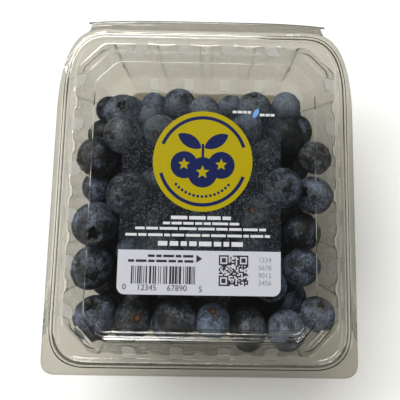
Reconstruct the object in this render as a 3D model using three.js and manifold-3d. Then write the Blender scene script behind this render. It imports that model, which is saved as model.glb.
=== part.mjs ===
// Hinged clear clamshell of blueberries: a ribbed, drafted tub, a domed lid that swings on a
// fold at the back, a printed label on the lid and the heap of berries inside.
// Millimetres, +Z up, +Y towards the hinge. The origin is under the middle of the pack.
import * as THREE from "three";
import { mergeVertices } from "three/addons/utils/BufferGeometryUtils.js";
import Module from "manifold-3d";

// ---- Driving dimensions ----
const packWidth = 123.8; // over the rim, left to right
const packLength = 142.6; // front edge to hinge fold
const parting = 49.6; // height of the plane where lid and tub meet
const sheet = 0.5; // wall of the formed plastic
const clearance = 0.3; // between pieces that touch
const hinge = { width: 101.6, depth: 3.9 }; // strip behind the rim that folds
const rimReach = { side: 7.4, front: 7.8, back: 6.5 }; // from the dome's foot to the rim's edge
const bead = { reach: 3.3, foot: 1.8, crest: 1.0, height: 1.5 }; // raised rim round the foot
const footCut = 11; // corner cut of the dome's foot, which is an octagon
const dome = { rise: 10.9, side: 10.8, end: 10.0, cut: 8.2, bevel: 3.6, bevelDrop: 0.8 };
const tub = { kneeZ: 13, knee: 5.6, kneeCut: 9, floor: 11.5, floorCut: 6, rim: -0.5, base: 0.7 };
const flute = { pitch: 18.4, foot: 5.6, crest: 3.6, depth: 0.9, perSide: 5 };
const vent = { width: 5.2, inward: 5.7, outward: 1.5, perEnd: 4, perSide: 6 };
const slot = { width: 5, low: 1.6, high: 12.6, perEnd: 4 };
const lug = { length: 15, width: 5, height: 1.1, along: 0.36 };
const label = { left: -31.6, right: 29.9, bottom: -38, stripTop: -21.8, top: 33.8, corner: 3 };
const labelThickness = 0.25;
const disc = { x: -0.4, y: 11.9, radius: 19.6 };

const footWidth = packWidth - 2 * rimReach.side;
const footLength = packLength - rimReach.front - rimReach.back - hinge.depth;
const footCentreY = -packLength / 2 + rimReach.front + footLength / 2;
const rimEdge = sheet + clearance / 2; // lid's upper face above the parting plane
const panelZ = parting + rimEdge + dome.rise;
const cornerSteps = 5;
const corners = [[1, -1], [1, 1], [-1, 1], [-1, -1]];

// ---- Outlines ----
// A ring is one level outline of the pack, counter-clockwise, as an array of Vector3. Every fine
// ring has a station at each edge of each flute, so any two of them can be joined.

function fluteStations() {
  const half = (flute.perSide - 1) / 2;
  const stations = [];
  for (let i = -half; i <= half; i++) {
    const middle = i * flute.pitch;
    stations.push([middle - flute.foot / 2, 0], [middle - flute.crest / 2, 1]);
    stations.push([middle + flute.crest / 2, 1], [middle + flute.foot / 2, 0]);
  }
  return stations;
}

// A corner runs from one side's end to the next one's: straight when round is 0, a full bend at 1.
function cornerPoints(start, corner, end, round) {
  const middle = start.clone().add(end).multiplyScalar(0.5).lerp(corner, round);
  return new THREE.QuadraticBezierCurve(start, middle, end).getPoints(cornerSteps);
}

// reach: how far the ring lies outside (+) or inside (-) the dome's foot.
// cut: how much of the front and back corners is taken off, along X and along Y.
function ring({ reach, z, cut, round = 0, fluteDepth = 0, fine = true, drop = 0 }) {
  const grow = typeof reach === "number" ? { side: reach, front: reach, back: reach } : reach;
  const halfX = footWidth / 2 + grow.side;
  const front = footCentreY - footLength / 2 - grow.front;
  const back = footCentreY + footLength / 2 + grow.back;
  const cuts = cut.front ? cut : { front: [cut, cut], back: [cut, cut] };
  const arcs = corners.map(([right, away]) => {
    const corner = new THREE.Vector2(right * halfX, away > 0 ? back : front);
    const [alongX, alongY] = away > 0 ? cuts.back : cuts.front;
    const onEnd = corner.clone().sub(new THREE.Vector2(right * alongX, 0));
    const onSide = corner.clone().sub(new THREE.Vector2(0, away * alongY));
    // Counter-clockwise, the front right and back left corners run from an end to a side.
    const [start, end] = right * away < 0 ? [onEnd, onSide] : [onSide, onEnd];
    return cornerPoints(start, corner, end, round);
  });
  const points = [];
  arcs.forEach((arc, i) => {
    const from = arcs[(i + 3) % 4].at(-1);
    const to = arc[0];
    if (fine) points.push(...sidePoints(from, to, i % 2 ? footCentreY : 0, fluteDepth));
    points.push(...arc);
  });
  return points.map((p) => new THREE.Vector3(p.x, p.y, z - (p.y < front + 1 ? drop : 0)));
}

// Stations along one side, with the flutes pressed inwards. Where the side is too short for the
// last flute, the stations draw together.
function sidePoints(from, to, centre, depth) {
  const along = to.clone().sub(from).normalize();
  const inward = new THREE.Vector2(-along.y, along.x);
  const acrossPack = Math.abs(along.x) > 0.5;
  const origin = new THREE.Vector2(acrossPack ? centre : from.x, acrossPack ? from.y : centre);
  const ends = [to.clone().sub(origin), origin.clone().sub(from)].map((half) => half.dot(along));
  const stations = fluteStations();
  const endGap = 0.4;
  const scale = Math.min(1, (Math.min(...ends) - endGap) / stations.at(-1)[0]);
  return stations.map(([s, pressed]) =>
    origin.clone().addScaledVector(along, s * scale).addScaledVector(inward, pressed * depth),
  );
}

// ---- Skins: closed surfaces built from rings, always walked so that the faces point outwards ----

class Skin {
  triangles = [];
  add(a, b, c) {
    this.triangles.push(a, b, c);
  }
  // Joins two rings with equal numbers of points.
  band(lower, upper) {
    lower.forEach((p, i) => {
      const j = (i + 1) % lower.length;
      this.add(p, lower[j], upper[j]);
      this.add(p, upper[j], upper[i]);
    });
  }
  bands(rings) {
    for (let i = 1; i < rings.length; i++) this.band(rings[i - 1], rings[i]);
  }
  // A flat face inside the outer ring, less the hole, facing up (1) or down (-1). The straight
  // sides are bent by a hair while it is split into triangles, so that none of them is a line.
  face(outer, hole, facing) {
    const flat = (points, bend = 0) =>
      points.map((p) => new THREE.Vector2(p.x, p.y).multiplyScalar(1 + bend * (p.x * p.x + p.y * p.y)));
    const all = [...outer, ...(hole ?? [])];
    const holes = hole ? [flat(hole, -1e-8)] : [];
    for (const [a, b, c] of THREE.ShapeUtils.triangulateShape(flat(outer, 1e-8), holes)) {
      const turn = THREE.ShapeUtils.area(flat([all[a], all[b], all[c]]));
      if (turn * facing > 0) this.add(all[a], all[b], all[c]);
      else this.add(all[a], all[c], all[b]);
    }
  }
  geometry() {
    return new THREE.BufferGeometry().setFromPoints(this.triangles);
  }
}

// ---- Joining and cutting ----
const wasm = await Module();
wasm.setup();
const wallInset = 0.36; // between the faces of the dome's wall, on the level: it slopes at 45 degrees

function solid(geometry) {
  const bare = geometry.clone();
  bare.deleteAttribute("normal");
  bare.deleteAttribute("uv");
  const merged = mergeVertices(bare, 1e-4);
  const vertProperties = merged.attributes.position.array;
  const triVerts = Uint32Array.from(merged.index.array);
  return new wasm.Manifold(new wasm.Mesh({ numProp: 3, vertProperties, triVerts }));
}

function geometryOf(made) {
  const mesh = made.getMesh();
  const geometry = new THREE.BufferGeometry();
  geometry.setAttribute("position", new THREE.BufferAttribute(new Float32Array(mesh.vertProperties), 3));
  geometry.setIndex(new THREE.BufferAttribute(new Uint32Array(mesh.triVerts), 1));
  geometry.computeVertexNormals();
  return geometry;
}

// ---- Rim and bead, shared by lid and tub ----
const rimCut = { front: [6, 6], back: [17, 36] };

function rimRing(z) {
  return ring({ reach: rimReach, z, cut: rimCut, round: 1, fine: false });
}

// The bead as seen by one face: base is that face's level, and inset how far it lies inside the
// lid's upper face.
function beadRings(base, inset) {
  const foot = bead.foot - inset;
  const crest = bead.crest - 0.6 * inset;
  const at = (reach, z) => {
    const out = reach - bead.reach; // the corners tighten towards the dome
    const cut = { front: [14 + out, 14 + out], back: [15.5 + out, 25 + 1.6 * out] };
    return ring({ reach, z, cut, round: 1, fine: false });
  };
  return [
    at(bead.reach + foot, base),
    at(bead.reach + crest, base + bead.height),
    at(bead.reach - crest, base + bead.height),
    at(bead.reach - foot, base),
  ];
}

function hingeStrip(z) {
  const back = packLength / 2;
  const inside = 2; // how far the strip runs into the rim
  const strip = new THREE.BoxGeometry(hinge.width, hinge.depth + inside, sheet);
  strip.translate(0, back - (hinge.depth + inside) / 2, z + sheet / 2);
  return solid(strip);
}

// ---- Lid ----

function domeRings(base, inset) {
  const at = (share, fluteShare) => {
    const end = -share * dome.end - inset;
    return ring({
      reach: { side: -share * dome.side - inset, front: end, back: end },
      z: base + share * dome.rise,
      cut: footCut + share * (dome.cut - footCut),
      fluteDepth: flute.depth * fluteShare,
    });
  };
  return [at(0, 1), at(0.85, 0.7)];
}

function panelRings(z, inset) {
  const reach = { side: -dome.side - inset, front: -dome.end - inset, back: -dome.end - inset };
  const edge = ring({ reach, z, cut: dome.cut, drop: dome.bevelDrop });
  const flat = { side: reach.side - sheet, front: reach.front - dome.bevel, back: reach.back - sheet };
  return [edge, ring({ reach: flat, z, cut: dome.cut })];
}

function lidShell() {
  const under = parting + clearance / 2;
  const upper = parting + rimEdge;
  const skin = new Skin();
  const inside = domeRings(under, wallInset);
  const [edgeIn, flatIn] = panelRings(panelZ - sheet, wallInset);
  const beadIn = beadRings(under, sheet);
  const outside = domeRings(upper, 0);
  const [edgeOut, flatOut] = panelRings(panelZ, 0);
  const beadOut = beadRings(upper, 0);
  skin.face(flatIn, null, -1);
  skin.bands([flatIn, edgeIn, inside[1], inside[0]]);
  skin.face(beadIn[3], inside[0], -1);
  skin.bands([...beadIn].reverse());
  skin.face(rimRing(under), beadIn[0], -1);
  skin.band(rimRing(under), rimRing(upper));
  skin.face(rimRing(upper), beadOut[0], 1);
  skin.bands(beadOut);
  skin.face(beadOut[3], outside[0], 1);
  skin.bands([outside[0], outside[1], edgeOut, flatOut]);
  skin.face(flatOut, null, 1);
  return solid(skin.geometry());
}

// A vent is D-shaped in plan: square across the dome's foot and round where it climbs the wall.
function ventCutter(x, y, turn) {
  const radius = vent.width / 2;
  const shape = new THREE.Shape();
  shape.moveTo(-radius, -vent.outward);
  shape.lineTo(radius, -vent.outward);
  shape.lineTo(radius, vent.inward - radius);
  shape.absarc(0, vent.inward - radius, radius, 0, Math.PI);
  return solid(prism(shape, dome.rise + sheet, 6).rotateZ(turn).translate(x, y, parting));
}

function prism(shape, depth, curveSegments) {
  return new THREE.ExtrudeGeometry(shape, { depth, curveSegments, bevelEnabled: false });
}

// Places along a side, midway between the flutes.
function centred(count) {
  return Array.from({ length: count }, (_, i) => (i - (count - 1) / 2) * flute.pitch);
}

function ventCutters() {
  const halfX = footWidth / 2;
  const halfY = footLength / 2;
  return [
    ...centred(vent.perEnd).map((x) => ventCutter(x, footCentreY - halfY, 0)),
    ...centred(vent.perEnd).map((x) => ventCutter(x, footCentreY + halfY, Math.PI)),
    ...centred(vent.perSide).map((y) => ventCutter(halfX, footCentreY + y, Math.PI / 2)),
    ...centred(vent.perSide).map((y) => ventCutter(-halfX, footCentreY + y, -Math.PI / 2)),
  ];
}

// A long stadium-shaped pad on each corner wall of the dome.
function cornerLug(signX, signY) {
  const half = lug.length / 2 - lug.width / 2;
  const shape = new THREE.Shape();
  shape.absarc(half, 0, lug.width / 2, -Math.PI / 2, Math.PI / 2);
  shape.absarc(-half, 0, lug.width / 2, Math.PI / 2, 1.5 * Math.PI);
  const pad = prism(shape, lug.height, 4);
  const wallMiddle = (share) => {
    const cut = footCut + share * (dome.cut - footCut);
    const x = footWidth / 2 - share * dome.side - cut / 2;
    const y = footLength / 2 - share * dome.end - cut / 2;
    return new THREE.Vector3(signX * x, footCentreY + signY * y, parting + rimEdge + share * dome.rise);
  };
  const along = new THREE.Vector3(-signX * signY, 1, 0).normalize();
  const upWall = wallMiddle(1).sub(wallMiddle(0)).normalize();
  const outward = new THREE.Vector3().crossVectors(along, upWall).normalize();
  if (outward.z < 0) outward.negate();
  const across = new THREE.Vector3().crossVectors(outward, along).normalize();
  const place = new THREE.Matrix4().makeBasis(along, across, outward);
  place.setPosition(wallMiddle(lug.along).addScaledVector(outward, -sheet / 2));
  return solid(pad.applyMatrix4(place));
}

function makeLid() {
  let lid = lidShell().add(hingeStrip(parting + clearance / 2));
  for (const cutter of ventCutters()) lid = lid.subtract(cutter);
  for (const [right, away] of corners) lid = lid.add(cornerLug(right, away));
  return geometryOf(lid);
}

// ---- Tub ----

// Half the tub's wall: the rings of its outer face, floor edge first. The inner face is the same,
// one sheet further in.
function tubRings(inset, floorZ, rimZ) {
  const at = (reach, z, cut, round, share) =>
    ring({ reach: -reach - inset, z, cut, round, fluteDepth: flute.depth * share });
  const slope = inset * 0.35; // keeps the slanted lower wall one sheet thick
  return [
    at(tub.floor, floorZ, tub.floorCut, 0.5, 0),
    at(tub.knee, tub.kneeZ + slope, tub.kneeCut, 0.4, 1),
    at(tub.rim, rimZ, footCut, 0, 1),
  ];
}

function tubShell() {
  const upper = parting - clearance / 2;
  const under = upper - sheet;
  const skin = new Skin();
  const outer = tubRings(0, 0, under);
  const inner = tubRings(sheet, tub.base, upper);
  const beadUnder = beadRings(under, 2 * sheet + clearance);
  const beadTop = beadRings(upper, sheet + clearance);
  skin.face(outer[0], null, -1);
  skin.bands(outer);
  skin.face(beadUnder[3], outer[2], -1);
  skin.bands([...beadUnder].reverse());
  skin.face(rimRing(under), beadUnder[0], -1);
  skin.band(rimRing(under), rimRing(upper));
  skin.face(rimRing(upper), beadTop[0], 1);
  skin.bands(beadTop);
  skin.face(beadTop[3], inner[2], 1);
  skin.bands([...inner].reverse());
  skin.face(inner[0], null, 1);
  return solid(skin.geometry());
}

function slotCutter(x, signY) {
  const depth = tub.floor - tub.knee + 5; // crosses the slanted wall
  const cutter = new THREE.BoxGeometry(slot.width, depth, slot.high - slot.low);
  const y = footCentreY + signY * (footLength / 2 - (tub.floor + tub.knee) / 2);
  cutter.translate(x, y, (slot.high + slot.low) / 2);
  return solid(cutter);
}

function makeTub() {
  let made = tubShell().add(hingeStrip(parting - clearance / 2 - sheet));
  for (const x of centred(slot.perEnd)) {
    made = made.subtract(slotCutter(x, -1)).subtract(slotCutter(x, 1));
  }
  return geometryOf(made);
}

// ---- Label: clear film with a round print and a pale strip set into it ----

function roundedShape(left, bottom, right, top, lowRadius, highRadius) {
  const shape = new THREE.Shape();
  shape.moveTo(left + lowRadius, bottom);
  if (lowRadius) shape.absarc(right - lowRadius, bottom + lowRadius, lowRadius, -Math.PI / 2, 0);
  else shape.lineTo(right, bottom);
  if (highRadius) shape.absarc(right - highRadius, top - highRadius, highRadius, 0, Math.PI / 2);
  else shape.lineTo(right, top);
  if (highRadius) shape.absarc(left + highRadius, top - highRadius, highRadius, Math.PI / 2, Math.PI);
  else shape.lineTo(left, top);
  if (lowRadius) shape.absarc(left + lowRadius, bottom + lowRadius, lowRadius, Math.PI, 1.5 * Math.PI);
  return shape;
}

function makeFilm() {
  const shape = roundedShape(label.left, label.stripTop + clearance, label.right, label.top, 0, label.corner);
  const hole = new THREE.Path();
  hole.absarc(disc.x, disc.y, disc.radius + clearance, 0, 2 * Math.PI);
  shape.holes.push(hole);
  return prism(shape, labelThickness, 12);
}

function makeStrip() {
  const shape = roundedShape(label.left, label.bottom, label.right, label.stripTop, label.corner, 0);
  return prism(shape, labelThickness, 6);
}

function makeDisc() {
  const shape = new THREE.Shape();
  shape.absarc(disc.x, disc.y, disc.radius, 0, 2 * Math.PI);
  return prism(shape, labelThickness, 12);
}

// ---- Berries ----
// The berries that show through the lid, set by hand: x, y and z of the middle, and diameter.
const shownBerries = [
  [-36.7, 32, 41.7, 15], [-25, 36.7, 32.8, 11.3], [-11.6, 37, 37.4, 14.6], [-0.4, 33.3, 44.6, 13.1],
  [11.8, 37.3, 28.7, 11.4], [22, 35.4, 36.5, 14.7], [36.5, 37.2, 36.5, 13.2], [-33.4, 22.1, 52.5, 15.4],
  [-23.8, 31.7, 42.2, 10.3], [-18.7, 24.1, 49.9, 13.7], [-45.3, 23.6, 35.1, 13.2], [-45.4, 13, 46.3, 16.3],
  [-45.6, -0.5, 39.5, 14.4], [-30.2, -1.9, 51.5, 17.3], [-44.8, -14.8, 46, 17.7], [-45.5, -32.1, 46.1, 16.4],
  [-43.1, -51.7, 45.8, 16.6], [-26.9, -50.5, 51, 14.5], [-10.6, -50.4, 49.9, 17.5], [4.6, -49.8, 50.6, 12.9],
  [19.4, -54.8, 46.4, 15.9], [34.9, -55.2, 46.6, 15.1], [47.3, -49.3, 46.7, 13.1], [37.3, -44.7, 36.4, 14.6],
  [40, -29.7, 49.8, 15.2], [42, -16.7, 41.7, 15.7], [46.3, -1.5, 46.3, 15.1], [32.7, 1.5, 52.4, 15.6],
  [46.8, 14, 46.7, 13.8], [35, 23.1, 43, 16.6], [25.6, 15.5, 50, 11.5], [21.3, -8.2, 46.5, 14.6],
  [40.4, 10.7, 34.6, 14.5], [-18.7, -11.2, 46.5, 11.5], [-27.2, -45.7, 36.5, 16.2], [6, -44.5, 38, 15.2],
  [29, -54.8, 34.6, 11.8], [-14.1, -15.5, 36.5, 10.8], [-19.1, -25.3, 45.1, 14.1], [-31.6, -25.6, 38.4, 14.2],
  [-30.2, 11.2, 33.1, 15.5], [-20.3, 3.1, 40.4, 14.1], [22.4, 6.9, 38, 12.5], [17.9, 26.3, 46.8, 14],
  [19.9, -25.3, 44, 14.7], [0.2, -21.7, 43, 14.7], [-34.1, 34.1, 26.5, 11.6],
];
const heap = {
  layers: [46, 34.5, 22.5, 10.5], // heights at which the other berries start
  pitch: 14.5,
  smallest: 12.5,
  largest: 18,
  jitter: 2,
  faceLow: 46.5, // where the other berries end towards the hinge, at the floor
  faceHigh: 38, // and level with the rim
  rounds: 300,
  seed: 20241,
  skin: 3, // a berry lying deeper than this behind the walls doesn't show
};

// A repeatable draw between 0 and 1.
function makeDraw(seed) {
  let state = seed;
  return () => {
    state = (state * 16807) % 2147483647;
    return state / 2147483647;
  };
}

// The flat walls that hold the berries, each as an inward normal and an offset: a point p lies
// p.normal - offset inside.
function heapWalls() {
  const walls = [];
  const through = (normal, point, spare) => walls.push([normal, normal.dot(point) + spare]);
  const up = new THREE.Vector3(0, 0, 1);
  through(up, new THREE.Vector3(0, 0, tub.base), clearance);
  through(up.clone().negate(), new THREE.Vector3(0, 0, panelZ - sheet), 1.5 * clearance);
  const knee = [-tub.knee, tub.kneeZ - parting];
  const spare = sheet;
  const stages = [
    { low: [0, 0.3], high: [-dome.side, dome.rise], cuts: [footCut, dome.cut], end: dome.end / dome.side },
    { low: [-tub.rim, 0], high: knee, cuts: [footCut, tub.kneeCut], end: 1 },
    { low: knee, high: [-tub.floor, tub.base - parting], cuts: [tub.kneeCut, tub.floorCut], end: 1 },
  ];
  for (const { low, high, cuts, end } of stages) {
    for (let k = 0; k < 8; k++) {
      const diagonal = k % 2;
      const turn = (k * Math.PI) / 4;
      const out = new THREE.Vector3(Math.round(Math.cos(turn)), Math.round(Math.sin(turn)), 0);
      const point = ([reach, rise], cut) => {
        const x = footWidth / 2 + reach - (diagonal * cut) / 2;
        const y = footLength / 2 + reach * end - (diagonal * cut) / 2;
        return new THREE.Vector3(out.x * x, footCentreY + out.y * y, parting + rise);
      };
      const climb = point(high, cuts[1]).sub(point(low, cuts[0]));
      const inward = new THREE.Vector3(-out.y, out.x, 0).cross(climb).normalize();
      if (inward.dot(out) > 0) inward.negate();
      through(inward, point(low, cuts[0]), diagonal ? spare : spare + flute.depth / 3);
    }
  }
  const lean = new THREE.Vector3(0, heap.faceLow - heap.faceHigh, parting);
  through(new THREE.Vector3(0, -lean.z, -lean.y).normalize(), new THREE.Vector3(0, heap.faceLow, 0), 0);
  return walls;
}

function startBerries() {
  const draw = makeDraw(heap.seed);
  const shift = () => (draw() - 0.5) * 2 * heap.jitter;
  const berries = shownBerries.map(([x, y, z, size]) => ({
    at: new THREE.Vector3(x, y, z),
    radius: size / 2,
    give: 0.08,
    shown: true,
  }));
  for (const level of heap.layers) {
    for (let x = -3 * heap.pitch; x <= 3 * heap.pitch; x += heap.pitch) {
      for (let y = -3.5 * heap.pitch; y <= heap.faceLow; y += heap.pitch) {
        const at = new THREE.Vector3(x + shift(), y + shift(), level + shift());
        const radius = (heap.smallest + (heap.largest - heap.smallest) * draw()) / 2;
        const crowded = berries.some((b) => b.at.distanceTo(at) < 0.74 * (b.radius + radius));
        const covers = berries.some((b) => {
          const aside = Math.hypot(b.at.x - at.x, b.at.y - at.y);
          return b.shown && b.at.z < at.z && aside < 0.8 * (b.radius + radius);
        });
        if (!crowded && !covers) berries.push({ at, radius, give: 1, shown: false });
      }
    }
  }
  return berries;
}

// Berries that overlap push each other apart, and the walls push them back in. The last wall, the
// heap's slope at the hinge end, holds only the berries that aren't listed above.
function settledBerries(walls) {
  const berries = startBerries();
  for (let round = 0; round < heap.rounds; round++) {
    const pushes = berries.map(() => new THREE.Vector3());
    for (let i = 0; i < berries.length; i++) {
      for (let j = i + 1; j < berries.length; j++) {
        const [a, b] = [berries[i], berries[j]];
        const apart = a.at.clone().sub(b.at);
        const overlap = a.radius + b.radius - apart.length();
        if (overlap <= 0) continue;
        apart.normalize().multiplyScalar((0.7 * overlap) / (a.give + b.give));
        pushes[i].addScaledVector(apart, a.give);
        pushes[j].addScaledVector(apart, -b.give);
      }
    }
    berries.forEach((berry, i) => {
      berry.at.add(pushes[i]);
      for (const [normal, offset] of berry.shown ? walls.slice(0, -1) : walls) {
        const short = offset + berry.radius - berry.at.dot(normal);
        if (short > 0) berry.at.addScaledVector(normal, short);
      }
    });
  }
  return berries;
}

// The room inside the closed pack, less the clearance.
function packRoom() {
  const skin = new Skin();
  const [floor, knee, rim] = tubRings(sheet + clearance, tub.base + clearance, parting);
  const [domeFoot, domeTop] = domeRings(parting + clearance / 2, wallInset + 1.4 * clearance);
  const [, panel] = panelRings(panelZ - sheet - clearance, wallInset + clearance);
  const rings = [floor, knee, rim, domeFoot, domeTop, panel];
  skin.face(floor, null, -1);
  skin.bands(rings);
  skin.face(panel, null, 1);
  return solid(skin.geometry());
}

// The solid middle of the heap, which joins the berries that show.
function heapCore() {
  const at = (reach, z, face) =>
    ring({
      reach: { side: -reach, front: -reach, back: face - (footCentreY + footLength / 2) },
      z,
      cut: 12,
      fine: false,
    });
  const rings = [at(20, 7, 36), at(15, 14, 36), at(9.5, 36, 34), at(12.5, 44, 27)];
  const skin = new Skin();
  skin.face(rings[0], null, -1);
  skin.bands(rings);
  skin.face(rings.at(-1), null, 1);
  return solid(skin.geometry());
}

// A berry with few sides, its corners a little outside the true surface so that it keeps its size.
// The berries of the top layer, which show most, get more sides.
function berryBall(at, radius) {
  if (at.z > parting - 9) return new THREE.IcosahedronGeometry(1.06 * radius, 1).translate(at.x, at.y, at.z);
  const ball = new THREE.SphereGeometry(1.08 * radius, 6, 4);
  return ball.rotateX(Math.PI / 2).rotateZ(at.x + at.y).translate(at.x, at.y, at.z);
}

function makeHeap() {
  const walls = heapWalls();
  const shows = ({ at, radius }) =>
    walls.some(([normal, offset]) => at.dot(normal) - offset - radius < heap.skin);
  let made = heapCore();
  for (const { at, radius } of settledBerries(walls).filter(shows)) {
    made = made.add(solid(berryBall(at, radius)));
  }
  made = made.intersect(packRoom());
  const [largest] = made.decompose().sort((a, b) => b.volume() - a.volume());
  return geometryOf(largest);
}

// ---- Assembly ----
const clearPlastic = { color: 0xdde2df, roughness: 0.12, metalness: 0, transparent: true, opacity: 0.35 };
const berrySkin = { color: 0x2b3346, roughness: 0.55, metalness: 0 };
const clearFilm = { color: 0xc9ced2, roughness: 0.3, metalness: 0, transparent: true, opacity: 0.35 };
const yellowPrint = { color: 0xd6c400, roughness: 0.4, metalness: 0 };
const palePrint = { color: 0xd7d9df, roughness: 0.4, metalness: 0 };

function named(name, geometry, look) {
  const mesh = new THREE.Mesh(geometry, new THREE.MeshStandardMaterial(look));
  mesh.name = name;
  return mesh;
}

const pack = new THREE.Group();
const labelGroup = new THREE.Group();
labelGroup.position.z = panelZ + clearance;
labelGroup.add(
  named("label_film", makeFilm(), clearFilm),
  named("label_disc", makeDisc(), yellowPrint),
  named("label_strip", makeStrip(), palePrint),
);
pack.add(
  named("tub", makeTub(), clearPlastic),
  named("lid", makeLid(), clearPlastic),
  named("blueberries", makeHeap(), berrySkin),
  labelGroup,
);

export default pack;
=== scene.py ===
# A hinged clear clamshell of blueberries: thermoformed tub and domed lid, printed label on the
# lid, and the heap of berries inside. The frame is in metres, Z up, +Y towards the hinge, with
# the origin under the middle of the pack. Sizes in the settings below are in millimetres.
import itertools
import math

import bmesh
import bpy
import numpy as np
from mathutils import Matrix


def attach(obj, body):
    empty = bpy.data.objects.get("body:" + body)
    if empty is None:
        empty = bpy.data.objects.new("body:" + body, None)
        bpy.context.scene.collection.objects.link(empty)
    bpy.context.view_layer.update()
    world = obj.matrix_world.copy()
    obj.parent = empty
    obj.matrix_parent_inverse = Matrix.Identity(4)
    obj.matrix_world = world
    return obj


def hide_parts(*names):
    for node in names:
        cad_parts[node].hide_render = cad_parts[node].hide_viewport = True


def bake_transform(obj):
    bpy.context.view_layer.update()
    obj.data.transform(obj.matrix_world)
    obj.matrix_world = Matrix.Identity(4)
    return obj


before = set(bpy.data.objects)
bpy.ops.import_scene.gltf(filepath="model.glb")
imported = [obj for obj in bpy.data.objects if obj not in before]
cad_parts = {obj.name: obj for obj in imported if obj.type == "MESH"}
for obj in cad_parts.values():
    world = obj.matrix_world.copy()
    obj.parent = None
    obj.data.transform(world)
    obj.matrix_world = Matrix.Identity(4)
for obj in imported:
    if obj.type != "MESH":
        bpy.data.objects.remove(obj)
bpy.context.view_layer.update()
mm = 0.001
far = 1e9  # a length beyond all others
print("frame loaded")

# What the pack is laid out from, as in the CAD source.
pack = {
    "width": 123.8,  # over the rim
    "length": 142.6,  # front edge to hinge fold
    "parting": 49.6,  # height where lid and tub meet
    "wall": 0.5,
    "gap": 0.3,
    "hingeWidth": 101.6,
    "hingeDepth": 3.9,
    "rimSide": 7.4,  # from the dome's foot to the rim's edge
    "rimFront": 7.8,
    "rimBack": 6.5,
    "domeRise": 10.9,
    "domeSide": 10.8,
    "domeEnd": 10.0,
    "domeFront": 1.03,  # how much less the dome's front leans in than its back
    "shoulder": 0.93,  # share of the dome's rise where it begins to curve into the panel
    "footCut": 11.0,  # corner cut of the dome's foot
    "domeCut": 8.2,
    "kneeReach": -5.6,  # where the tub's wall bends inwards: its reach, height and corner cut
    "kneeHeight": 13,
    "kneeCut": 9,
    "floorReach": -11.5,
    "floorCut": 6,
}
halfX = pack["width"] / 2 - pack["rimSide"]
halfY = (pack["length"] - pack["rimFront"] - pack["rimBack"] - pack["hingeDepth"]) / 2
midY = -pack["length"] / 2 + pack["rimFront"] + halfY
backY = pack["length"] / 2
hingeY = backY + pack["gap"] / 2
tubZ = pack["parting"] - pack["gap"] / 2 - pack["wall"]  # outer faces of the two rims
lidZ = pack["parting"] + pack["wall"] + pack["gap"] / 2
panelZ = lidZ + pack["domeRise"]


def newObject(name, data):
    made = bpy.data.objects.new(name, data)
    bpy.context.scene.collection.objects.link(made)
    return made


# A mesh from points (n, 3) in millimetres and arrays of outward faces, riding on a body.
def addPiece(name, points, faces, material, body, smooth=True):
    mesh = bpy.data.meshes.new(name)
    corners = np.concatenate([f.ravel() for f in faces])
    sizes = np.concatenate([np.full(len(f), f.shape[1]) for f in faces])
    mesh.vertices.add(len(points))
    mesh.vertices.foreach_set("co", (np.asarray(points) * mm).astype(np.float32).ravel())
    mesh.loops.add(len(corners))
    mesh.loops.foreach_set("vertex_index", corners.astype(np.int32))
    mesh.polygons.add(len(sizes))
    mesh.polygons.foreach_set("loop_start", (np.cumsum(sizes) - sizes).astype(np.int32))
    mesh.polygons.foreach_set("use_smooth", np.full(len(sizes), smooth))
    mesh.update(calc_edges=True)
    mesh.validate()
    mesh.materials.append(material)
    piece = newObject(name, mesh)
    if body:
        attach(piece, body)
    return piece


def addValues(piece, name, values):
    attribute = piece.data.attributes.new(name, "FLOAT", "POINT")
    attribute.data.foreach_set("value", np.asarray(values, np.float32).ravel())


# Which points the faces use, and the faces numbered for those points alone.
def usedOnly(count, faces):
    used = np.zeros(count, bool)
    for face in faces:
        used[face] = True
    renumber = np.cumsum(used) - 1
    return used, [renumber[face] for face in faces]


# Quads of a grid of points, row by row; closed joins the last column to the first.
def gridFaces(rows, columns, closed):
    index = np.arange(rows * columns).reshape(rows, columns)
    right = np.roll(index, -1, axis=1)
    quads = np.stack([index[:-1], right[:-1], right[1:], index[1:]], axis=-1)
    return quads.reshape(-1, 4) if closed else quads[:, :-1].reshape(-1, 4)


# Closed grid rows, and one triangle fan about the mean of the last row.
def closedCap(points):
    rows, stations = points.shape[:2]
    last = np.arange(stations) + (rows - 1) * stations
    fan = np.stack([last, np.roll(last, -1), np.full(stations, rows * stations)], -1)
    centre = points[-1].mean(axis=0)
    return np.concatenate([points.reshape(-1, 3), centre[None]]), gridFaces(rows, stations, True), fan


# Quadratic curve from a to c, drawn towards b.
def quadratic(a, b, c, t):
    return (1 - t) ** 2 * a + 2 * t * (1 - t) * b + t**2 * c


# t held between 0 and 1, then three t squared less two t cubed, which starts and ends level.
def eased(t):
    t = np.clip(t, 0, 1)
    return t * t * (3 - 2 * t)


# sRGB hex to linear RGBA.
def colour(hexValue):
    parts = np.array([int(hexValue[i : i + 2], 16) for i in (1, 3, 5)]) / 255
    linear = np.where(parts <= 0.04045, parts / 12.92, ((parts + 0.055) / 1.055) ** 2.4)
    return (*linear.tolist(), 1.0)


# Adds a node. A setting is a property. An input is a value, a hex colour, an output, or a node
# whose first live output is linked; i0, i1 and so on are inputs by number.
def addNode(tree, kind, settings=None, **inputs):
    node = tree.nodes.new("ShaderNode" + kind)
    for key, value in (settings or {}).items():
        setattr(node, key, value)
    for key, value in inputs.items():
        numbered = key[0] == "i" and key[1:].isdigit()
        socket = node.inputs[int(key[1:]) if numbered else key.replace("_", " ")]
        if isinstance(value, bpy.types.Node):
            value = next(output for output in value.outputs if output.enabled)
        if isinstance(value, bpy.types.NodeSocket):
            tree.links.new(value, socket)
        else:
            socket.default_value = colour(value) if isinstance(value, str) else value
    return node


# Settings that several nodes share.
asColour = {"data_type": "RGBA"}
multiply = {"operation": "MULTIPLY"}
multiplyAdd = {"operation": "MULTIPLY_ADD"}
maximum = {"operation": "MAXIMUM"}


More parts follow.
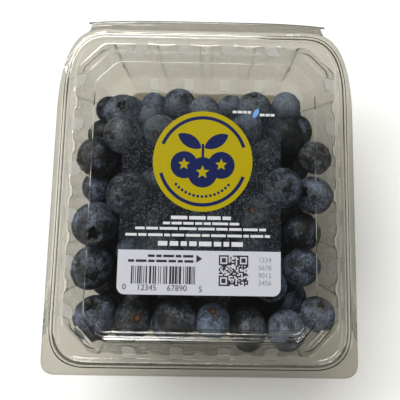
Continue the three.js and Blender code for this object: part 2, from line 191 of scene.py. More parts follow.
def newMaterial(name):
    material = bpy.data.materials.new(name)
    material.use_nodes = True
    material.node_tree.nodes.clear()
    return material, material.node_tree


# The clear sheets of lid and tub.
shell = {
    "sheet": 0.32,  # thickness that Solidify gives
    "splitAngle": 42,  # sharper bends than this keep a hard line
    "lidSpacing": 0.82,  # distance between stations round the shell
    "tubSpacing": 0.8,
    "straight": 31.0,  # half of each side's run whose stations stay at fixed places
    "cornerRuns": (11.5, 2.6, 11.5, 20.0),  # lengths of run, curve, cut and run at a corner
    "bend": 2.4,  # length over which a corner cut turns into its side
    "bendShare": 0.28,  # how much of a corner's bend each of its short curves takes
    "cutShare": 0.3,  # a short curve takes at most this share of its cut, and of its side
    "sideShare": 0.6,
    "runShare": 0.45,  # a profile's curve takes at most this share of the run beside it
    "capRows": (0.86, 0.62, 0.36, 0.12),  # rows across the flat panel and floor, as shares
    "fluteFoot": 6.8,
    "fluteCrest": 3.4,
    "fluteDepth": 0.9,
    "flutePitch": 18.4,
    "fluteFade": 1.5,  # distance from a side's line over which its flutes fade
    "dropHold": 1.6,  # a row's drop starts to fade 0.6 of that distance from the front's line
    "endFlutes": 0.2,  # how deep the flutes of the lid's front and back are, as a share
    "ventHalf": 2.6,
    "ventInward": 5.7,
    "ventOutward": 1.5,
    "ventsOnEnds": (4, 33),  # how many, and how far from the middle they may lie; slots share it
    "ventsOnSides": (6, 51),
    "punchTurn": 0.3,  # how far the punch turns an opening's edge down
    "slotHalf": 2.5,
    "slotLow": 1.6,
    "slotHigh": 12.6,
    "slotCorner": 0.8,
    "slotBeyond": 45,  # slots lie further than this from the middle
    "lugLength": 13.0,
    "lugWidth": 4.6,
    "lugHeight": 0.7,
    "lugAlong": 0.36,
    "lugEdge": 0.7,
    "lugBand": 1.2,  # how near a point lies to the corner wall to count as on it
    "lugClear": 0.8,  # distance from a vent over which a pad fades in
    "knurlWidth": 2.2,
    "knurlHeight": 0.28,
    "knurlFrom": -57,  # beads begin behind this place, full height after a few millimetres
    "knurlFade": 3,
    "knurlRoom": (0.3, 0.5),  # distance between stations at which beads begin and are full
    "flapFlare": 1.8,  # how much wider the hinge flap is at the rim than at the fold
    "flapBow": 1.4,  # how much further back its middle lies than its ends
    "flapRows": 12,
    "flapTaper": 0.6,  # power of the share of the way back; below 1 it narrows soon
    "foldGap": 0.25,  # from the flap's end to the hinge's axis, so that the open halves stay clear
    "foldBulge": 0.9,  # how far the fold stands out, as a share of its radius
    "foldSheet": 0.25,
    "foldLines": (0.7, 1.7),  # places of the two fine ridges before the fold
    "foldLineHeight": 0.2,
    "foldLineWidth": 0.22,
}
foldY = hingeY - shell["foldGap"]
rimReach = [pack["rimSide"], pack["rimFront"], pack["rimBack"]]
rimCut = [6, 6, 17, 36]
beadMiddle = 3.3
# Rows of the lid's bead and of the tub's tongue under it: reach, rise above the rim, radius of the
# corner there, its curve's steps and the spacing of the rows that lead to it.
lidBead = [
    (5.0, 0, 0.3, 2, 0.8), (4.7, 1.2, 0.3, 2, 0.5), (3.75, 1.42, 0.12, 1, 0.5), (3.5, 1.3, 0.1, 1, 0.5),
    (3.25, 1.48, 0.12, 1, 0.5), (2.2, 1.62, 0.4, 4, 0.5), (1.5, 0, 0.5, 4, 0.5),
]
tubTongue = [
    (3.8, 0, 0.2, 2, 0.8), (3.52, 1.5, 0.15, 1, 0.8), (3.08, 1.5, 0.15, 1, 0.8), (2.8, 0, 0.2, 2, 0.8),
]
noHole = 9  # a distance that is outside every opening
# Ridges at the panel's front edge: millimetres in from the edge, below the panel, the radius of
# the corner and its curve's steps.
ridges = [
    (-0.98, 0.05, 0.06, 2), (0.07, 0.7, 0.06, 2), (0.12, 0.7, 0.06, 1), (0.2, 0.2, 0.06, 3),
    (0.9, 0.64, 0.06, 3), (1.35, 0.64, 0.06, 2), (1.7, 0.05, 0.06, 3), (2.65, 0.65, 0.06, 3),
    (3.0, 0.5, 0.06, 1), (3.4, 0.0, 0.3, 2),
]


# One row of a shell's profile: reach at side, front and back, height, corner cuts, how round the
# corner is, how deep its flutes are, and how far its front drops.
def level(reach, z, cut, bend=0.0, flute=0.0, drop=0.0):
    reach = [reach] * 3 if np.isscalar(reach) else list(reach)
    cut = [cut] * 4 if np.isscalar(cut) else list(cut)
    return [*reach, z, *cut, bend, flute, drop]


# The rim and a bead or tongue on it, whose corner cuts grow with its reach, as rows with their
# curves.
def rimRows(z, bead):
    rows = [(level(rimReach, z, rimCut, 1), 0, 0, 0.8)]
    for reach, rise, *curve in bead:
        out = reach - beadMiddle
        rows.append((level(reach, z + rise, [14 + out, 14 + out, 15.5 + out, 25 + 1.6 * out], 1), *curve))
    return rows


# Straight from row to row; at each row a quadratic curve that begins and ends one radius away.
def profileThrough(table):
    rows, radii, steps, spacing = zip(*table)
    rows = np.array(rows, float)
    out = [rows[:1]]
    for i in range(1, len(rows)):
        before = out[-1][-1]
        step = rows[i] - rows[i - 1]
        length = math.hypot(step[0], step[3])
        radius = radii[i] if i < len(rows) - 1 else 0
        radius = min(radius, shell["runShare"] * length)
        end = rows[i] - step * radius / length
        count = max(1, round(math.hypot(end[0] - before[0], end[3] - before[3]) / spacing[i]))
        out.append(before + (end - before) * np.linspace(0, 1, count + 1)[1:, None])
        if radius:
            ahead = rows[i + 1] - rows[i]
            aheadLength = math.hypot(ahead[0], ahead[3])
            leave = rows[i] + ahead * min(radius, shell["runShare"] * aheadLength) / aheadLength
            out.append(quadratic(end, rows[i], leave, np.linspace(0, 1, steps[i] + 1)[1:, None]))
    return np.concatenate(out)


# Points from an end's straight run, round one corner, to the side's straight run. The corner cut
# is a straight line with a short curve at each end, blended by the level's bend towards one
# quadratic curve about the corner.
def cornerPath(levels, right, away, counts):
    side, front, back, _, frontX, frontY, backX, backY, bend = levels.T[:9]
    start = shell["straight"]
    edgeX = right * (halfX + side)
    edgeY = midY + away * (halfY + (back if away > 0 else front))
    cutX = backX if away > 0 else frontX
    cutY = backY if away > 0 else frontY
    corner = np.stack([edgeX, edgeY], -1)[:, None]
    onEnd = corner - np.stack([right * cutX, 0 * cutX], -1)[:, None]
    onSide = corner - np.stack([0 * cutY, away * cutY], -1)[:, None]
    first = np.stack([0 * edgeX + right * start, edgeY], -1)[:, None]
    last = np.stack([edgeX, 0 * edgeX + midY + away * start], -1)[:, None]
    alongCut = onSide - onEnd
    cutLength = np.linalg.norm(alongCut, axis=-1, keepdims=True)
    share = bend[:, None, None]
    turn = np.minimum(shell["bend"], shell["cutShare"] * cutLength) * (1 - share)
    for beside in (onEnd - first, last - onSide):
        turn = np.minimum(turn, shell["sideShare"] * np.linalg.norm(beside, axis=-1, keepdims=True))
    towards = alongCut / cutLength
    startTurn = onEnd - np.array([right, 0.0]) * turn
    endTurn = onSide - np.array([0.0, away]) * turn
    straight, curve, flat, run = (np.linspace(0, 1, n + 1)[None, :, None] for n in counts)
    cutPoints = np.concatenate(
        [
            quadratic(startTurn, onEnd, onEnd + towards * turn, curve[:, :-1]),
            onEnd + towards * turn + (alongCut - 2 * towards * turn) * flat[:, :-1],
            quadratic(onSide - towards * turn, onSide, endTurn, curve),
        ],
        axis=1,
    )
    part = shell["bendShare"]
    between = part + (1 - 2 * part) * flat[:, :-1]
    u = np.concatenate([part * curve[:, :-1], between, 1 - part + part * curve], axis=1)
    middle = (1 - share) * cutPoints + share * quadratic(onEnd, corner, onSide, u)
    approach = first + (middle[:, :1] - first) * straight[:, :-1]
    leaving = middle[:, -1:] + (last - middle[:, -1:]) * run[:, 1:]
    return np.concatenate([approach, middle, leaving], axis=1)


# 1 on a flute's crest and 0 beyond its foot, eased between. distance is along the side.
def fluteShape(distance):
    foot, crest = shell["fluteFoot"] / 2, shell["fluteCrest"] / 2
    nearest = np.clip(np.round(distance / shell["flutePitch"]), -2, 2) * shell["flutePitch"]
    return eased((foot - np.abs(distance - nearest)) / (foot - crest))


# Level outlines, counter-clockwise from the front left, stacked to rows x stations x 3. Flutes
# press a side inwards, and a row's drop lowers its front.
def loft(levels, spacing):
    start = shell["straight"]
    counts = [max(2, round(n / spacing)) for n in shell["cornerRuns"]]
    along = np.linspace(-start, start, round(2 * start / spacing) + 1)[None]
    side, front, back, z = (column[:, None] for column in levels.T[:4])

    def edge(x, y):
        return np.stack(np.broadcast_arrays(x, y), -1)

    parts = [
        edge(along, midY - halfY - front),
        cornerPath(levels, 1, -1, counts),
        edge(halfX + side, along + midY),
        cornerPath(levels, 1, 1, counts)[:, ::-1],
        edge(-along, midY + halfY + back),
        cornerPath(levels, -1, 1, counts),
        edge(-halfX - side, midY - along),
        cornerPath(levels, -1, -1, counts)[:, ::-1],
    ]
    flat = np.concatenate([part[:, :-1] for part in parts], axis=1)
    # Which side a station belongs to, by the nearer edge line.
    x, y = flat[..., 0], flat[..., 1] - midY
    toSide = halfX + side - np.abs(x)
    toEnd = np.where(y > 0, back, front) + halfY - np.abs(y)
    pressed = shell["fluteDepth"] * levels[:, 9:10]
    onSide = np.clip(1 - toSide / shell["fluteFade"], 0, 1) * (toSide < toEnd)
    onEnd = np.clip(1 - toEnd / shell["fluteFade"], 0, 1) * (toEnd <= toSide)
    x = x - np.sign(x) * pressed * onSide * fluteShape(y)
    onLid = z > pack["parting"]
    y = y - np.sign(y) * pressed * onEnd * fluteShape(x) * np.where(onLid, shell["endFlutes"], 1)
    fall = levels[:, 10:11] * np.clip(shell["dropHold"] - (toEnd + far * (y > 0)) / shell["fluteFade"], 0, 1)
    return np.stack([x, y + midY, z - fall], axis=-1)


# Opens holes in a lofted grid. distance is below 0 inside a hole. A point outside that has a
# neighbour inside slides along that line to where it crosses the hole's edge, and the punch turns
# it down a little; a face with a corner inside is dropped.
def openHoles(points, distance):
    inside = distance < 0
    best = np.full(distance.shape, np.inf)
    moved = points.copy()
    neighbours = [(down, along) for down in (-1, 0, 1) for along in (-1, 0, 1) if down or along]
    for shift in neighbours:
        other = np.roll(points, shift, axis=(0, 1))
        beyond = np.roll(distance, shift, axis=(0, 1))
        crossing = (~inside) & (beyond < 0)
        t = np.where(crossing, distance / np.where(crossing, distance - beyond, 1), 0)
        length = t * np.linalg.norm(other - points, axis=-1)
        closer = crossing & (length < best)
        best = np.where(closer, length, best)
        moved = np.where(closer[..., None], points + t[..., None] * (other - points), moved)
    moved[..., 2] -= shell["punchTurn"] * np.isfinite(best)
    rolled = np.roll(inside, -1, axis=1)
    cut = inside[:-1] | rolled[:-1] | inside[1:] | rolled[1:]
    return moved, ~cut.ravel()


# Distance to the nearest of count places at the flutes' pitch, centred on 0.
def nearestCentre(value, count):
    half = (count - 1) / 2
    place = np.clip(np.round(value / shell["flutePitch"] + half), 0, count - 1) - half
    return value - place * shell["flutePitch"]


# Signed distance to the nearest vent: a D, square across the foot and round up the wall.
def ventDistance(points):
    x, y = points[..., 0], points[..., 1] - midY
    half = shell["ventHalf"]
    centre = shell["ventInward"] - half

    def dShape(place, inward, many):
        count, limit = many
        beside = nearestCentre(place, count)
        arch = np.hypot(beside, inward - centre) - half
        square = np.maximum(np.abs(beside) - half, -shell["ventOutward"] - inward)
        shape = np.where(inward > centre, arch, square)
        return np.where(np.abs(place) < limit, shape, noHole)

    onEnds = dShape(x, halfY - np.abs(y), shell["ventsOnEnds"])
    onSides = dShape(y, halfX - np.abs(x), shell["ventsOnSides"])
    return np.minimum(onEnds, onSides)


# Signed distance to the nearest slot, a rounded rectangle low in the tub's end walls.
def slotDistance(points):
    x, z = points[..., 0], points[..., 2]
    count, limit = shell["ventsOnEnds"]
    middle = (shell["slotHigh"] + shell["slotLow"]) / 2
    half = (shell["slotHigh"] - shell["slotLow"]) / 2
    corner = shell["slotCorner"]
    beside = np.abs(nearestCentre(x, count)) - shell["slotHalf"]
    above = np.abs(z - middle) - half
    outside = np.hypot(np.maximum(beside + corner, 0), np.maximum(above + corner, 0)) - corner
    distance = np.where((beside < 0) & (above < 0), np.maximum(beside, above), outside)
    onEnd = (np.abs(points[..., 1] - midY) > shell["slotBeyond"]) & (np.abs(x) < limit)
    return np.where(onEnd, distance, noHole)


# Presses a stadium-shaped pad out of each corner wall of the dome, square to that wall.
def addLugs(points):
    x, y, z = points[..., 0], points[..., 1] - midY, points[..., 2]
    up = shell["lugAlong"]
    cut = pack["footCut"] + up * (pack["domeCut"] - pack["footCut"])
    middleX = halfX - up * pack["domeSide"] - cut / 2
    middleY = halfY - up * pack["domeEnd"] - cut / 2
    middleZ = lidZ + up * pack["domeRise"]
    run = (pack["domeSide"] + pack["domeEnd"] - pack["footCut"] + pack["domeCut"]) / math.sqrt(2)
    slope = math.atan2(pack["domeRise"], run)
    ax, ay = np.abs(x) - middleX, np.abs(y) - middleY
    along = (ax - ay) / math.sqrt(2)
    inward = -(ax + ay) / math.sqrt(2)
    across = inward * math.cos(slope) + (z - middleZ) * math.sin(slope)
    offPlane = (z - middleZ) * math.cos(slope) - inward * math.sin(slope)
    half = shell["lugLength"] / 2 - shell["lugWidth"] / 2
    distance = np.hypot(np.maximum(np.abs(along) - half, 0), across) - shell["lugWidth"] / 2
    clearOfVents = np.clip(ventDistance(points) / shell["lugClear"], 0, 1)
    near = np.abs(offPlane) < shell["lugBand"]
    rise = shell["lugHeight"] * eased(0.5 - distance / shell["lugEdge"]) * near * clearOfVents
    outward = rise * math.sin(slope) / math.sqrt(2)
    moved = [x + np.sign(x) * outward, y + midY + np.sign(y) * outward, z + rise * math.cos(slope)]
    return np.stack(moved, -1)


# How far the flap's end lies forward of its middle: a fourth power of the place across it.
def flapBow(x, half):
    return shell["flapBow"] * (x / half) ** 4


# Rows from the rim's own points back to the fold, narrower towards it, with two fine ridges as
# bell curves.
def hingeFlap(rim, first, flipped):
    half = pack["hingeWidth"] / 2
    wide = half + shell["flapFlare"]
    chosen = np.where((np.abs(rim[:, 0]) <= wide) & (rim[:, 1] > 0))[0]
    base = rim[chosen]
    t = np.linspace(0, 1, shell["flapRows"] + 1)[1:, None]
    x = base[:, 0] * (1 - (1 - half / wide) * t ** shell["flapTaper"])
    fold = foldY - flapBow(base[:, 0], wide)
    y = base[:, 1] + t * (fold - base[:, 1])
    ridge = sum(np.exp(-(((fold - y - at) / shell["foldLineWidth"]) ** 2)) for at in shell["foldLines"])
    ridge = shell["foldLineHeight"] * ridge
    rows = np.stack([x, y, base[:, 2] + ridge * (-1 if flipped else 1)], -1)
    index = first + np.arange(rows.shape[0] * rows.shape[1]).reshape(rows.shape[:2])
    index = np.concatenate([chosen[None], index])
    quads = np.stack([index[:-1, :-1], index[1:, :-1], index[1:, 1:], index[:-1, 1:]], -1).reshape(-1, 4)
    return rows.reshape(-1, 3), quads


# A lofted shell with its openings, flat cap and hinge flap. flipped turns its faces over, for the
# tub; the lid has the corner pads.
def buildShell(name, levels, spacing, hole, materials, node, flipped):
    grid = loft(levels, spacing)
    # Beads along the rim's edge, except at the front: every second station is raised, by half a
    # sine wave across the band, and less where stations are close.
    across = np.clip((levels[:, 0] - pack["rimSide"] + shell["knurlWidth"]) / shell["knurlWidth"], 0, 1)
    step = np.linalg.norm(grid[0] - np.roll(grid[0], 1, axis=0), axis=-1)
    raised = np.where(np.arange(grid.shape[1]) % 2, 1, -1)
    raised = raised * np.clip((grid[..., 1] - shell["knurlFrom"]) / shell["knurlFade"], 0, 1)
    least, enough = shell["knurlRoom"]
    room = np.minimum(step, np.roll(step, -1))
    raised = raised * np.clip((room - least) / (enough - least), 0, 1)
    grid[..., 2] += shell["knurlHeight"] * np.sin(np.pi * across)[:, None] * raised
    if not flipped:
        grid = addLugs(grid)
    grid, keep = openHoles(grid, hole(grid))
    inner = grid[-1]
    centre = inner.mean(axis=0)
    shrink = np.array(shell["capRows"])[:, None, None]
    grid = np.concatenate([grid, centre + (inner - centre) * shrink])
    points, quads, fan = closedCap(grid)
    keep = np.concatenate([keep, np.ones(len(quads) - len(keep), bool)])
    flapPoints, flap = hingeFlap(grid[0], len(points), flipped)
    folded = np.repeat([0.0, 1.0], [len(points), len(flapPoints)])
    points = np.concatenate([points, flapPoints])
    faces = [quads[keep], fan, flap]
    if flipped:
        faces = [face[:, ::-1] for face in faces]
    used, faces = usedOnly(len(points), faces)
    piece = addPiece(name, points[used], faces, materials[0], node)
    addValues(piece, "folded", folded[used])
    piece.data.materials.append(materials[1])
    solidify = piece.modifiers.new("sheet", "SOLIDIFY")
    solidify.material_offset_rim = 1
    solidify.thickness = shell["sheet"] * mm
    solidify.offset = -1
    solidify.use_even_offset = False
    crisp = piece.modifiers.new("crisp edges", "EDGE_SPLIT")
    crisp.split_angle = math.radians(shell["splitAngle"])
    return piece


# The lid from rim to panel: a flat rim, a bead in facets, a fluted dome and the panel's ridges.
# Each ridge rises towards the front and drops again.
def lidLevels():
    top = lidZ + pack["domeRise"]
    side, end, cut = pack["domeSide"], pack["domeEnd"], pack["domeCut"]
    front, part = pack["domeFront"], pack["shoulder"]
    frontCut = [cut - 2.3, cut, cut, cut]
    shoulder = [-part * side, -part * end + front, -part * end]
    rows = rimRows(lidZ, lidBead)
    rows += [
        (level(0, lidZ, pack["footCut"], flute=1), 0.7, 4, 0.7),
        (level(shoulder, lidZ + part * pack["domeRise"], 8.4, flute=0.35), 0.3, 2, 0.7),
        (level([-1.02 * side, -end + front, -1.02 * end], top, frontCut, drop=0.5), 0.1, 1, 0.25),
    ]
    for inward, drop, *curve in ridges:
        behind = 0.6 + inward / 7
        reach = [-side - behind, -end - inward, -end - behind]
        rows.append((level(reach, top, frontCut, drop=drop), *curve, 0.25))
    rows.append((level([-side - 2.5, -end - 6.4, -end - 2.5], top, cut), 0, 0, 1.0))
    return profileThrough(rows)


# The tub from rim to floor: a flat rim, a tongue under the lid's bead, a fluted wall and its knee.
def tubLevels():
    knee = level(pack["kneeReach"], pack["kneeHeight"], pack["kneeCut"], 0.4, flute=1.3)
    rows = rimRows(tubZ, tubTongue)
    rows += [
        (level(0.5, tubZ, pack["footCut"], flute=1.3), 0.8, 4, 0.8),
        (knee, 3, 4, 1.6),
        (level(pack["floorReach"], 0, pack["floorCut"], 0.5), 1.5, 4, 0.7),
        (level(-14, 0, pack["floorCut"], 0.5), 0, 0, 1.2),
    ]
    return profileThrough(rows)


# Thermoformed PET sheet: glossy and clear. Drawing leaves its thickness a little uneven, so one
# face has a faint ripple, and its bends catch thin bright lines. Shadow rays pass, as they do
# through thin sheet.
def clearPlastic():
    material, tree = newMaterial("thermoformed clear PET")
    place = addNode(tree, "TexCoord").outputs["Object"]
    ripple = addNode(tree, "TexNoise", Vector=place, Scale=140.0, Detail=2.0, Roughness=0.5)
    inside = addNode(tree, "NewGeometry").outputs["Backfacing"]
    oneFace = addNode(tree, "MapRange", Value=inside, To_Min=0.12, To_Max=0.0)
    waviness = addNode(tree, "Bump", Strength=oneFace, Distance=0.00025, Height=ripple)
    glass = addNode(
        tree, "BsdfPrincipled", Base_Color="#E3E1DA", Roughness=0.04, IOR=1.57,
        Transmission_Weight=1.0, Normal=waviness,
    )
    clear = addNode(tree, "BsdfTransparent", Color="#E3E2DC")
    path = addNode(tree, "LightPath")
    shadow, diffuse = path.outputs["Is Shadow Ray"], path.outputs["Is Diffuse Ray"]
    passes = addNode(tree, "Math", maximum, i0=shadow, i1=diffuse)
    # Bending whitens the sheet at the hinge, so the flap there is less clear.
    folded = addNode(tree, "Attribute", {"attribute_name": "folded"}).outputs["Fac"]
    whitening = addNode(tree, "Math", multiply, i0=folded, i1=0.3)
    whitened = addNode(tree, "BsdfPrincipled", Base_Color="#8E8B82", Roughness=0.3, IOR=1.57)
    sheet = addNode(tree, "MixShader", i0=whitening, i1=glass, i2=whitened)
    mix = addNode(tree, "MixShader", i0=passes, i1=sheet, i2=clear)
    addNode(tree, "OutputMaterial", Surface=mix)
    return material


# Die-cut edge of the PET sheet: frosted by the cut, so it shows as a thin greyish line. The frost
# is drawn at about a millimetre, coarser than it is, so that it shows.
def cutEdge():
    material, tree = newMaterial("die-cut PET edge")
    place = addNode(tree, "TexCoord").outputs["Object"]
    frost = addNode(tree, "TexNoise", Vector=place, Scale=900.0, Detail=2.0)
    share = addNode(tree, "MapRange", Value=frost, To_Min=0.7, To_Max=1.0)
    clear = addNode(tree, "BsdfTransparent", Color="#EDEDEA")
    frosted = addNode(tree, "BsdfPrincipled", Base_Color="#6C6860", Roughness=0.35, IOR=1.57)
    mix = addNode(tree, "MixShader", i0=share, i1=clear, i2=frosted)
    addNode(tree, "OutputMaterial", Surface=mix)
    return material


# The living hinge: half a turn of a small flattened tube from the lid's flap down to the tub's.
def foldFilm(plastic):
    half = pack["hingeWidth"] / 2
    x = np.linspace(-half, half, 61)
    angle = np.linspace(math.pi / 2, -math.pi / 2, 9)[:, None]
    radius = (lidZ - tubZ) / 2
    y = foldY - flapBow(x, half) + shell["foldBulge"] * radius * np.cos(angle)
    z = (lidZ + tubZ) / 2 + radius * np.sin(angle) + 0 * x
    points = np.stack([x + 0 * y, y, z], -1)
    piece = addPiece("hinge_fold", points.reshape(-1, 3), [gridFaces(9, 61, False)], plastic, None)
    addValues(piece, "folded", np.ones(points.shape[:2]))
    sheet = piece.modifiers.new("sheet", "SOLIDIFY")
    sheet.thickness = shell["foldSheet"] * mm
    sheet.offset = -1
    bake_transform(piece)


def buildShells():
    plastic = clearPlastic()
    both = (plastic, cutEdge())
    lid = buildShell("lid_sheet", lidLevels(), shell["lidSpacing"], ventDistance, both, "lid", False)
    tub = buildShell("tub_sheet", tubLevels(), shell["tubSpacing"], slotDistance, both, "tub", True)
    foldFilm(plastic)
    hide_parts("lid")
    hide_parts("tub")
    print("shells built", len(lid.data.polygons), len(tub.data.polygons))


# The heap, packed as in the CAD source. Middle and diameter of each berry that shows.
shownBerries = [
    [-36.7, 32, 41.7, 15], [-25, 36.7, 32.8, 11.3], [-11.6, 37, 37.4, 14.6], [-0.4, 33.3, 44.6, 13.1],
    [11.8, 37.3, 28.7, 11.4], [22, 35.4, 36.5, 14.7], [36.5, 37.2, 36.5, 13.2], [-33.4, 22.1, 52.5, 15.4],
    [-23.8, 31.7, 42.2, 10.3], [-18.7, 24.1, 49.9, 13.7], [-45.3, 23.6, 35.1, 13.2],
    [-45.4, 13, 46.3, 16.3], [-45.6, -0.5, 39.5, 14.4], [-30.2, -1.9, 51.5, 17.3],
    [-44.8, -14.8, 46, 17.7], [-45.5, -32.1, 46.1, 16.4], [-43.1, -51.7, 45.8, 16.6],
    [-26.9, -50.5, 51, 14.5], [-10.6, -50.4, 49.9, 17.5], [4.6, -49.8, 50.6, 12.9],
    [19.4, -54.8, 46.4, 15.9], [34.9, -55.2, 46.6, 15.1], [47.3, -49.3, 46.7, 13.1],
    [37.3, -44.7, 36.4, 14.6], [40, -29.7, 49.8, 15.2], [42, -16.7, 41.7, 15.7], [46.3, -1.5, 46.3, 15.1],
    [32.7, 1.5, 52.4, 15.6], [46.8, 14, 46.7, 13.8], [35, 23.1, 43, 16.6], [25.6, 15.5, 50, 11.5],
    [21.3, -8.2, 46.5, 14.6], [40.4, 10.7, 34.6, 14.5], [-18.7, -11.2, 46.5, 11.5],
    [-27.2, -45.7, 36.5, 16.2], [6, -44.5, 38, 15.2], [29, -54.8, 34.6, 11.8], [-14.1, -15.5, 36.5, 10.8],
    [-19.1, -25.3, 45.1, 14.1], [-31.6, -25.6, 38.4, 14.2], [-30.2, 11.2, 33.1, 15.5],
    [-20.3, 3.1, 40.4, 14.1], [22.4, 6.9, 38, 12.5], [17.9, 26.3, 46.8, 14], [19.9, -25.3, 44, 14.7],
    [0.2, -21.7, 43, 14.7], [-34.1, 34.1, 26.5, 11.6],
]
heap = {
    "layers": [46, 34.5, 22.5, 10.5],  # heights of the lattice
    "pitch": 14.5,
    "across": 3,  # the lattice's reach to the sides and to the front, in pitches
    "forward": 3.5,
    "smallest": 12.5,
    "largest": 18,
    "jitter": 2,
    "roomShare": 0.74,  # nearer than this share of both radii, a new berry has no room
    "coverShare": 0.8,  # and above a shown one and this near, it would cover that
    "shownGive": 0.08,  # how little a shown berry gives way
    "pushShare": 0.7,  # how much of an overlap one round takes up
    "faceLow": 46.5,  # how far back the heap reaches at the floor, and at the parting
    "faceHigh": 38,
    "floor": 0.7,  # inner face of the tub's floor
    "domeFoot": (0, 0.3),  # reach and rise where the dome's and the tub's walls begin
    "tubTop": (0.5, 0),
    "rounds": 300,
    "seed": 20241,
    "topFrom": 40.5,  # berries above this height have the finer mesh
    # The filling's rows, low to high: reach at side, front and back, and height.
    "core": [
        ([-20, -20, -24.9], 7), ([-16, -14, -27], 14), ([-12, -9.3, -28], 36), ([-16, -10.6, -35], 43),
    ],
    "coreCut": 12,
    "coreSpacing": 6.0,
}


# The flat walls that hold the berries, as inward normals and offsets: floor, panel, eight walls
# for each stage of dome and tub, and last the heap's leaning back face.
def heapWalls():
    half = np.array([halfX, halfY])
    parting, gap = pack["parting"], pack["gap"]
    walls = [([0, 0, 1], heap["floor"] + gap), ([0, 0, -1], -(panelZ - pack["wall"]) + 1.5 * gap)]
    domeTop = (-pack["domeSide"], pack["domeRise"])
    knee = (pack["kneeReach"], pack["kneeHeight"] - parting)
    foot = (pack["floorReach"], heap["floor"] - parting)
    endShare = pack["domeEnd"] / pack["domeSide"]
    stages = [
        (heap["domeFoot"], domeTop, (pack["footCut"], pack["domeCut"]), endShare),
        (heap["tubTop"], knee, (pack["footCut"], pack["kneeCut"]), 1),
        (knee, foot, (pack["kneeCut"], pack["floorCut"]), 1),
    ]
    for low, high, cuts, endShare in stages:
        for k in range(8):
            out = np.round([math.cos(k * math.pi / 4), math.sin(k * math.pi / 4)])
            ends = []
            for (reach, rise), cut in zip((low, high), cuts):
                xy = half + np.array([reach, reach * endShare]) - (k % 2) * cut / 2
                ends.append(np.array([*(out * xy), parting + rise]) + np.array([0, midY, 0]))
            inward = np.cross([-out[1], out[0], 0], ends[1] - ends[0])
            inward = inward / np.linalg.norm(inward)
            inward = -inward if inward[:2] @ out > 0 else inward
            flutes = 0 if k % 2 else shell["fluteDepth"] / 3
            walls.append((inward, inward @ ends[0] + pack["wall"] + flutes))
    lean = np.array([0, -parting, heap["faceHigh"] - heap["faceLow"]])
    lean = lean / np.linalg.norm(lean)
    walls.append((lean, lean @ np.array([0, heap["faceLow"], 0])))
    return walls


# The shown berries, then a jittered lattice wherever there is still room and no shown berry would
# be covered. A row is a berry's middle, its radius and how much it gives way. The draws come from
# a Lehmer generator, so that the CAD source can draw the same.
def startBerries():
    state = heap["seed"]
    berries = [[x, y, z, size / 2, heap["shownGive"]] for x, y, z, size in shownBerries]
    pitch = heap["pitch"]

    def draw():
        nonlocal state
        state = (state * 16807) % 2147483647
        return state / 2147483647

    across = np.arange(-heap["across"], heap["across"] + 1) * pitch
    along = np.arange(-heap["forward"], heap["faceLow"] / pitch) * pitch
    for height, x, y in itertools.product(heap["layers"], across, along):
        shift = [(draw() - 0.5) * 2 * heap["jitter"] for _ in range(3)]
        radius = (heap["smallest"] + (heap["largest"] - heap["smallest"]) * draw()) / 2
        at = np.array([x, y, height]) + shift
        known = np.array(berries)
        reach = known[:, 3] + radius
        near = np.linalg.norm(known[:, :3] - at, axis=1) < heap["roomShare"] * reach
        aside = np.linalg.norm(known[:, :2] - at[:2], axis=1) < heap["coverShare"] * reach
        covers = (aside & (known[:, 2] < at[2]))[: len(shownBerries)]
        if not near.any() and not covers.any():
            berries.append([*at, radius, 1.0])
    return np.array(berries)


# Overlapping berries push each other apart along their centre line, and walls push back. The back
# face, the last wall, holds only the berries that don't show.
def settledBerries():
    berries = startBerries()
    at, radius, give = berries[:, :3].copy(), berries[:, 3], berries[:, 4]
    reach = radius[:, None] + radius
    share = heap["pushShare"] * give[:, None] / (give[:, None] + give)
    walls = heapWalls()
    for _ in range(heap["rounds"]):
        apart = at[:, None] - at
        distance = np.linalg.norm(apart, axis=-1) + far * np.eye(len(at))
        overlap = np.maximum(reach - distance, 0)
        at = at + (apart / distance[..., None] * (share * overlap)[..., None]).sum(axis=1)
        for k, (normal, offset) in enumerate(walls):
            short = np.maximum(offset + radius - at @ normal, 0)
            if k == len(walls) - 1:
                short = short * (give == 1)
            at = at + short[:, None] * np.asarray(normal)
    return at, radius


# Where a crown or a stem scar shows on a berry: right and towards the hinge, as shares of its
# radius. A berry without a row lies on its side, with both ends out of sight.
berryFeatures = {
    0: ("crown", -0.05, 0.4), 5: ("crown", 0.0, 0.85), 7: ("scar", 0.58, 0.27), 9: ("scar", -0.3, -0.16),
    11: ("crown", -0.84, -0.3), 13: ("crown", 0.05, -0.57), 14: ("crown", -0.1, -0.53),
    15: ("crown", -0.75, 0.25), 16: ("crown", -0.15, 0.64), 17: ("scar", 0.28, 0.11),
    19: ("scar", 0.0, 0.55), 21: ("crown", 0.28, -0.65), 22: ("crown", 0.22, 0.62),
    23: ("crown", -0.8, -0.5), 26: ("crown", -0.62, 0.12), 27: ("crown", -0.55, 0.35),
    28: ("crown", 0.55, 0.58), 30: ("crown", -0.15, 0.55), 31: ("scar", -0.11, 0.1),
}
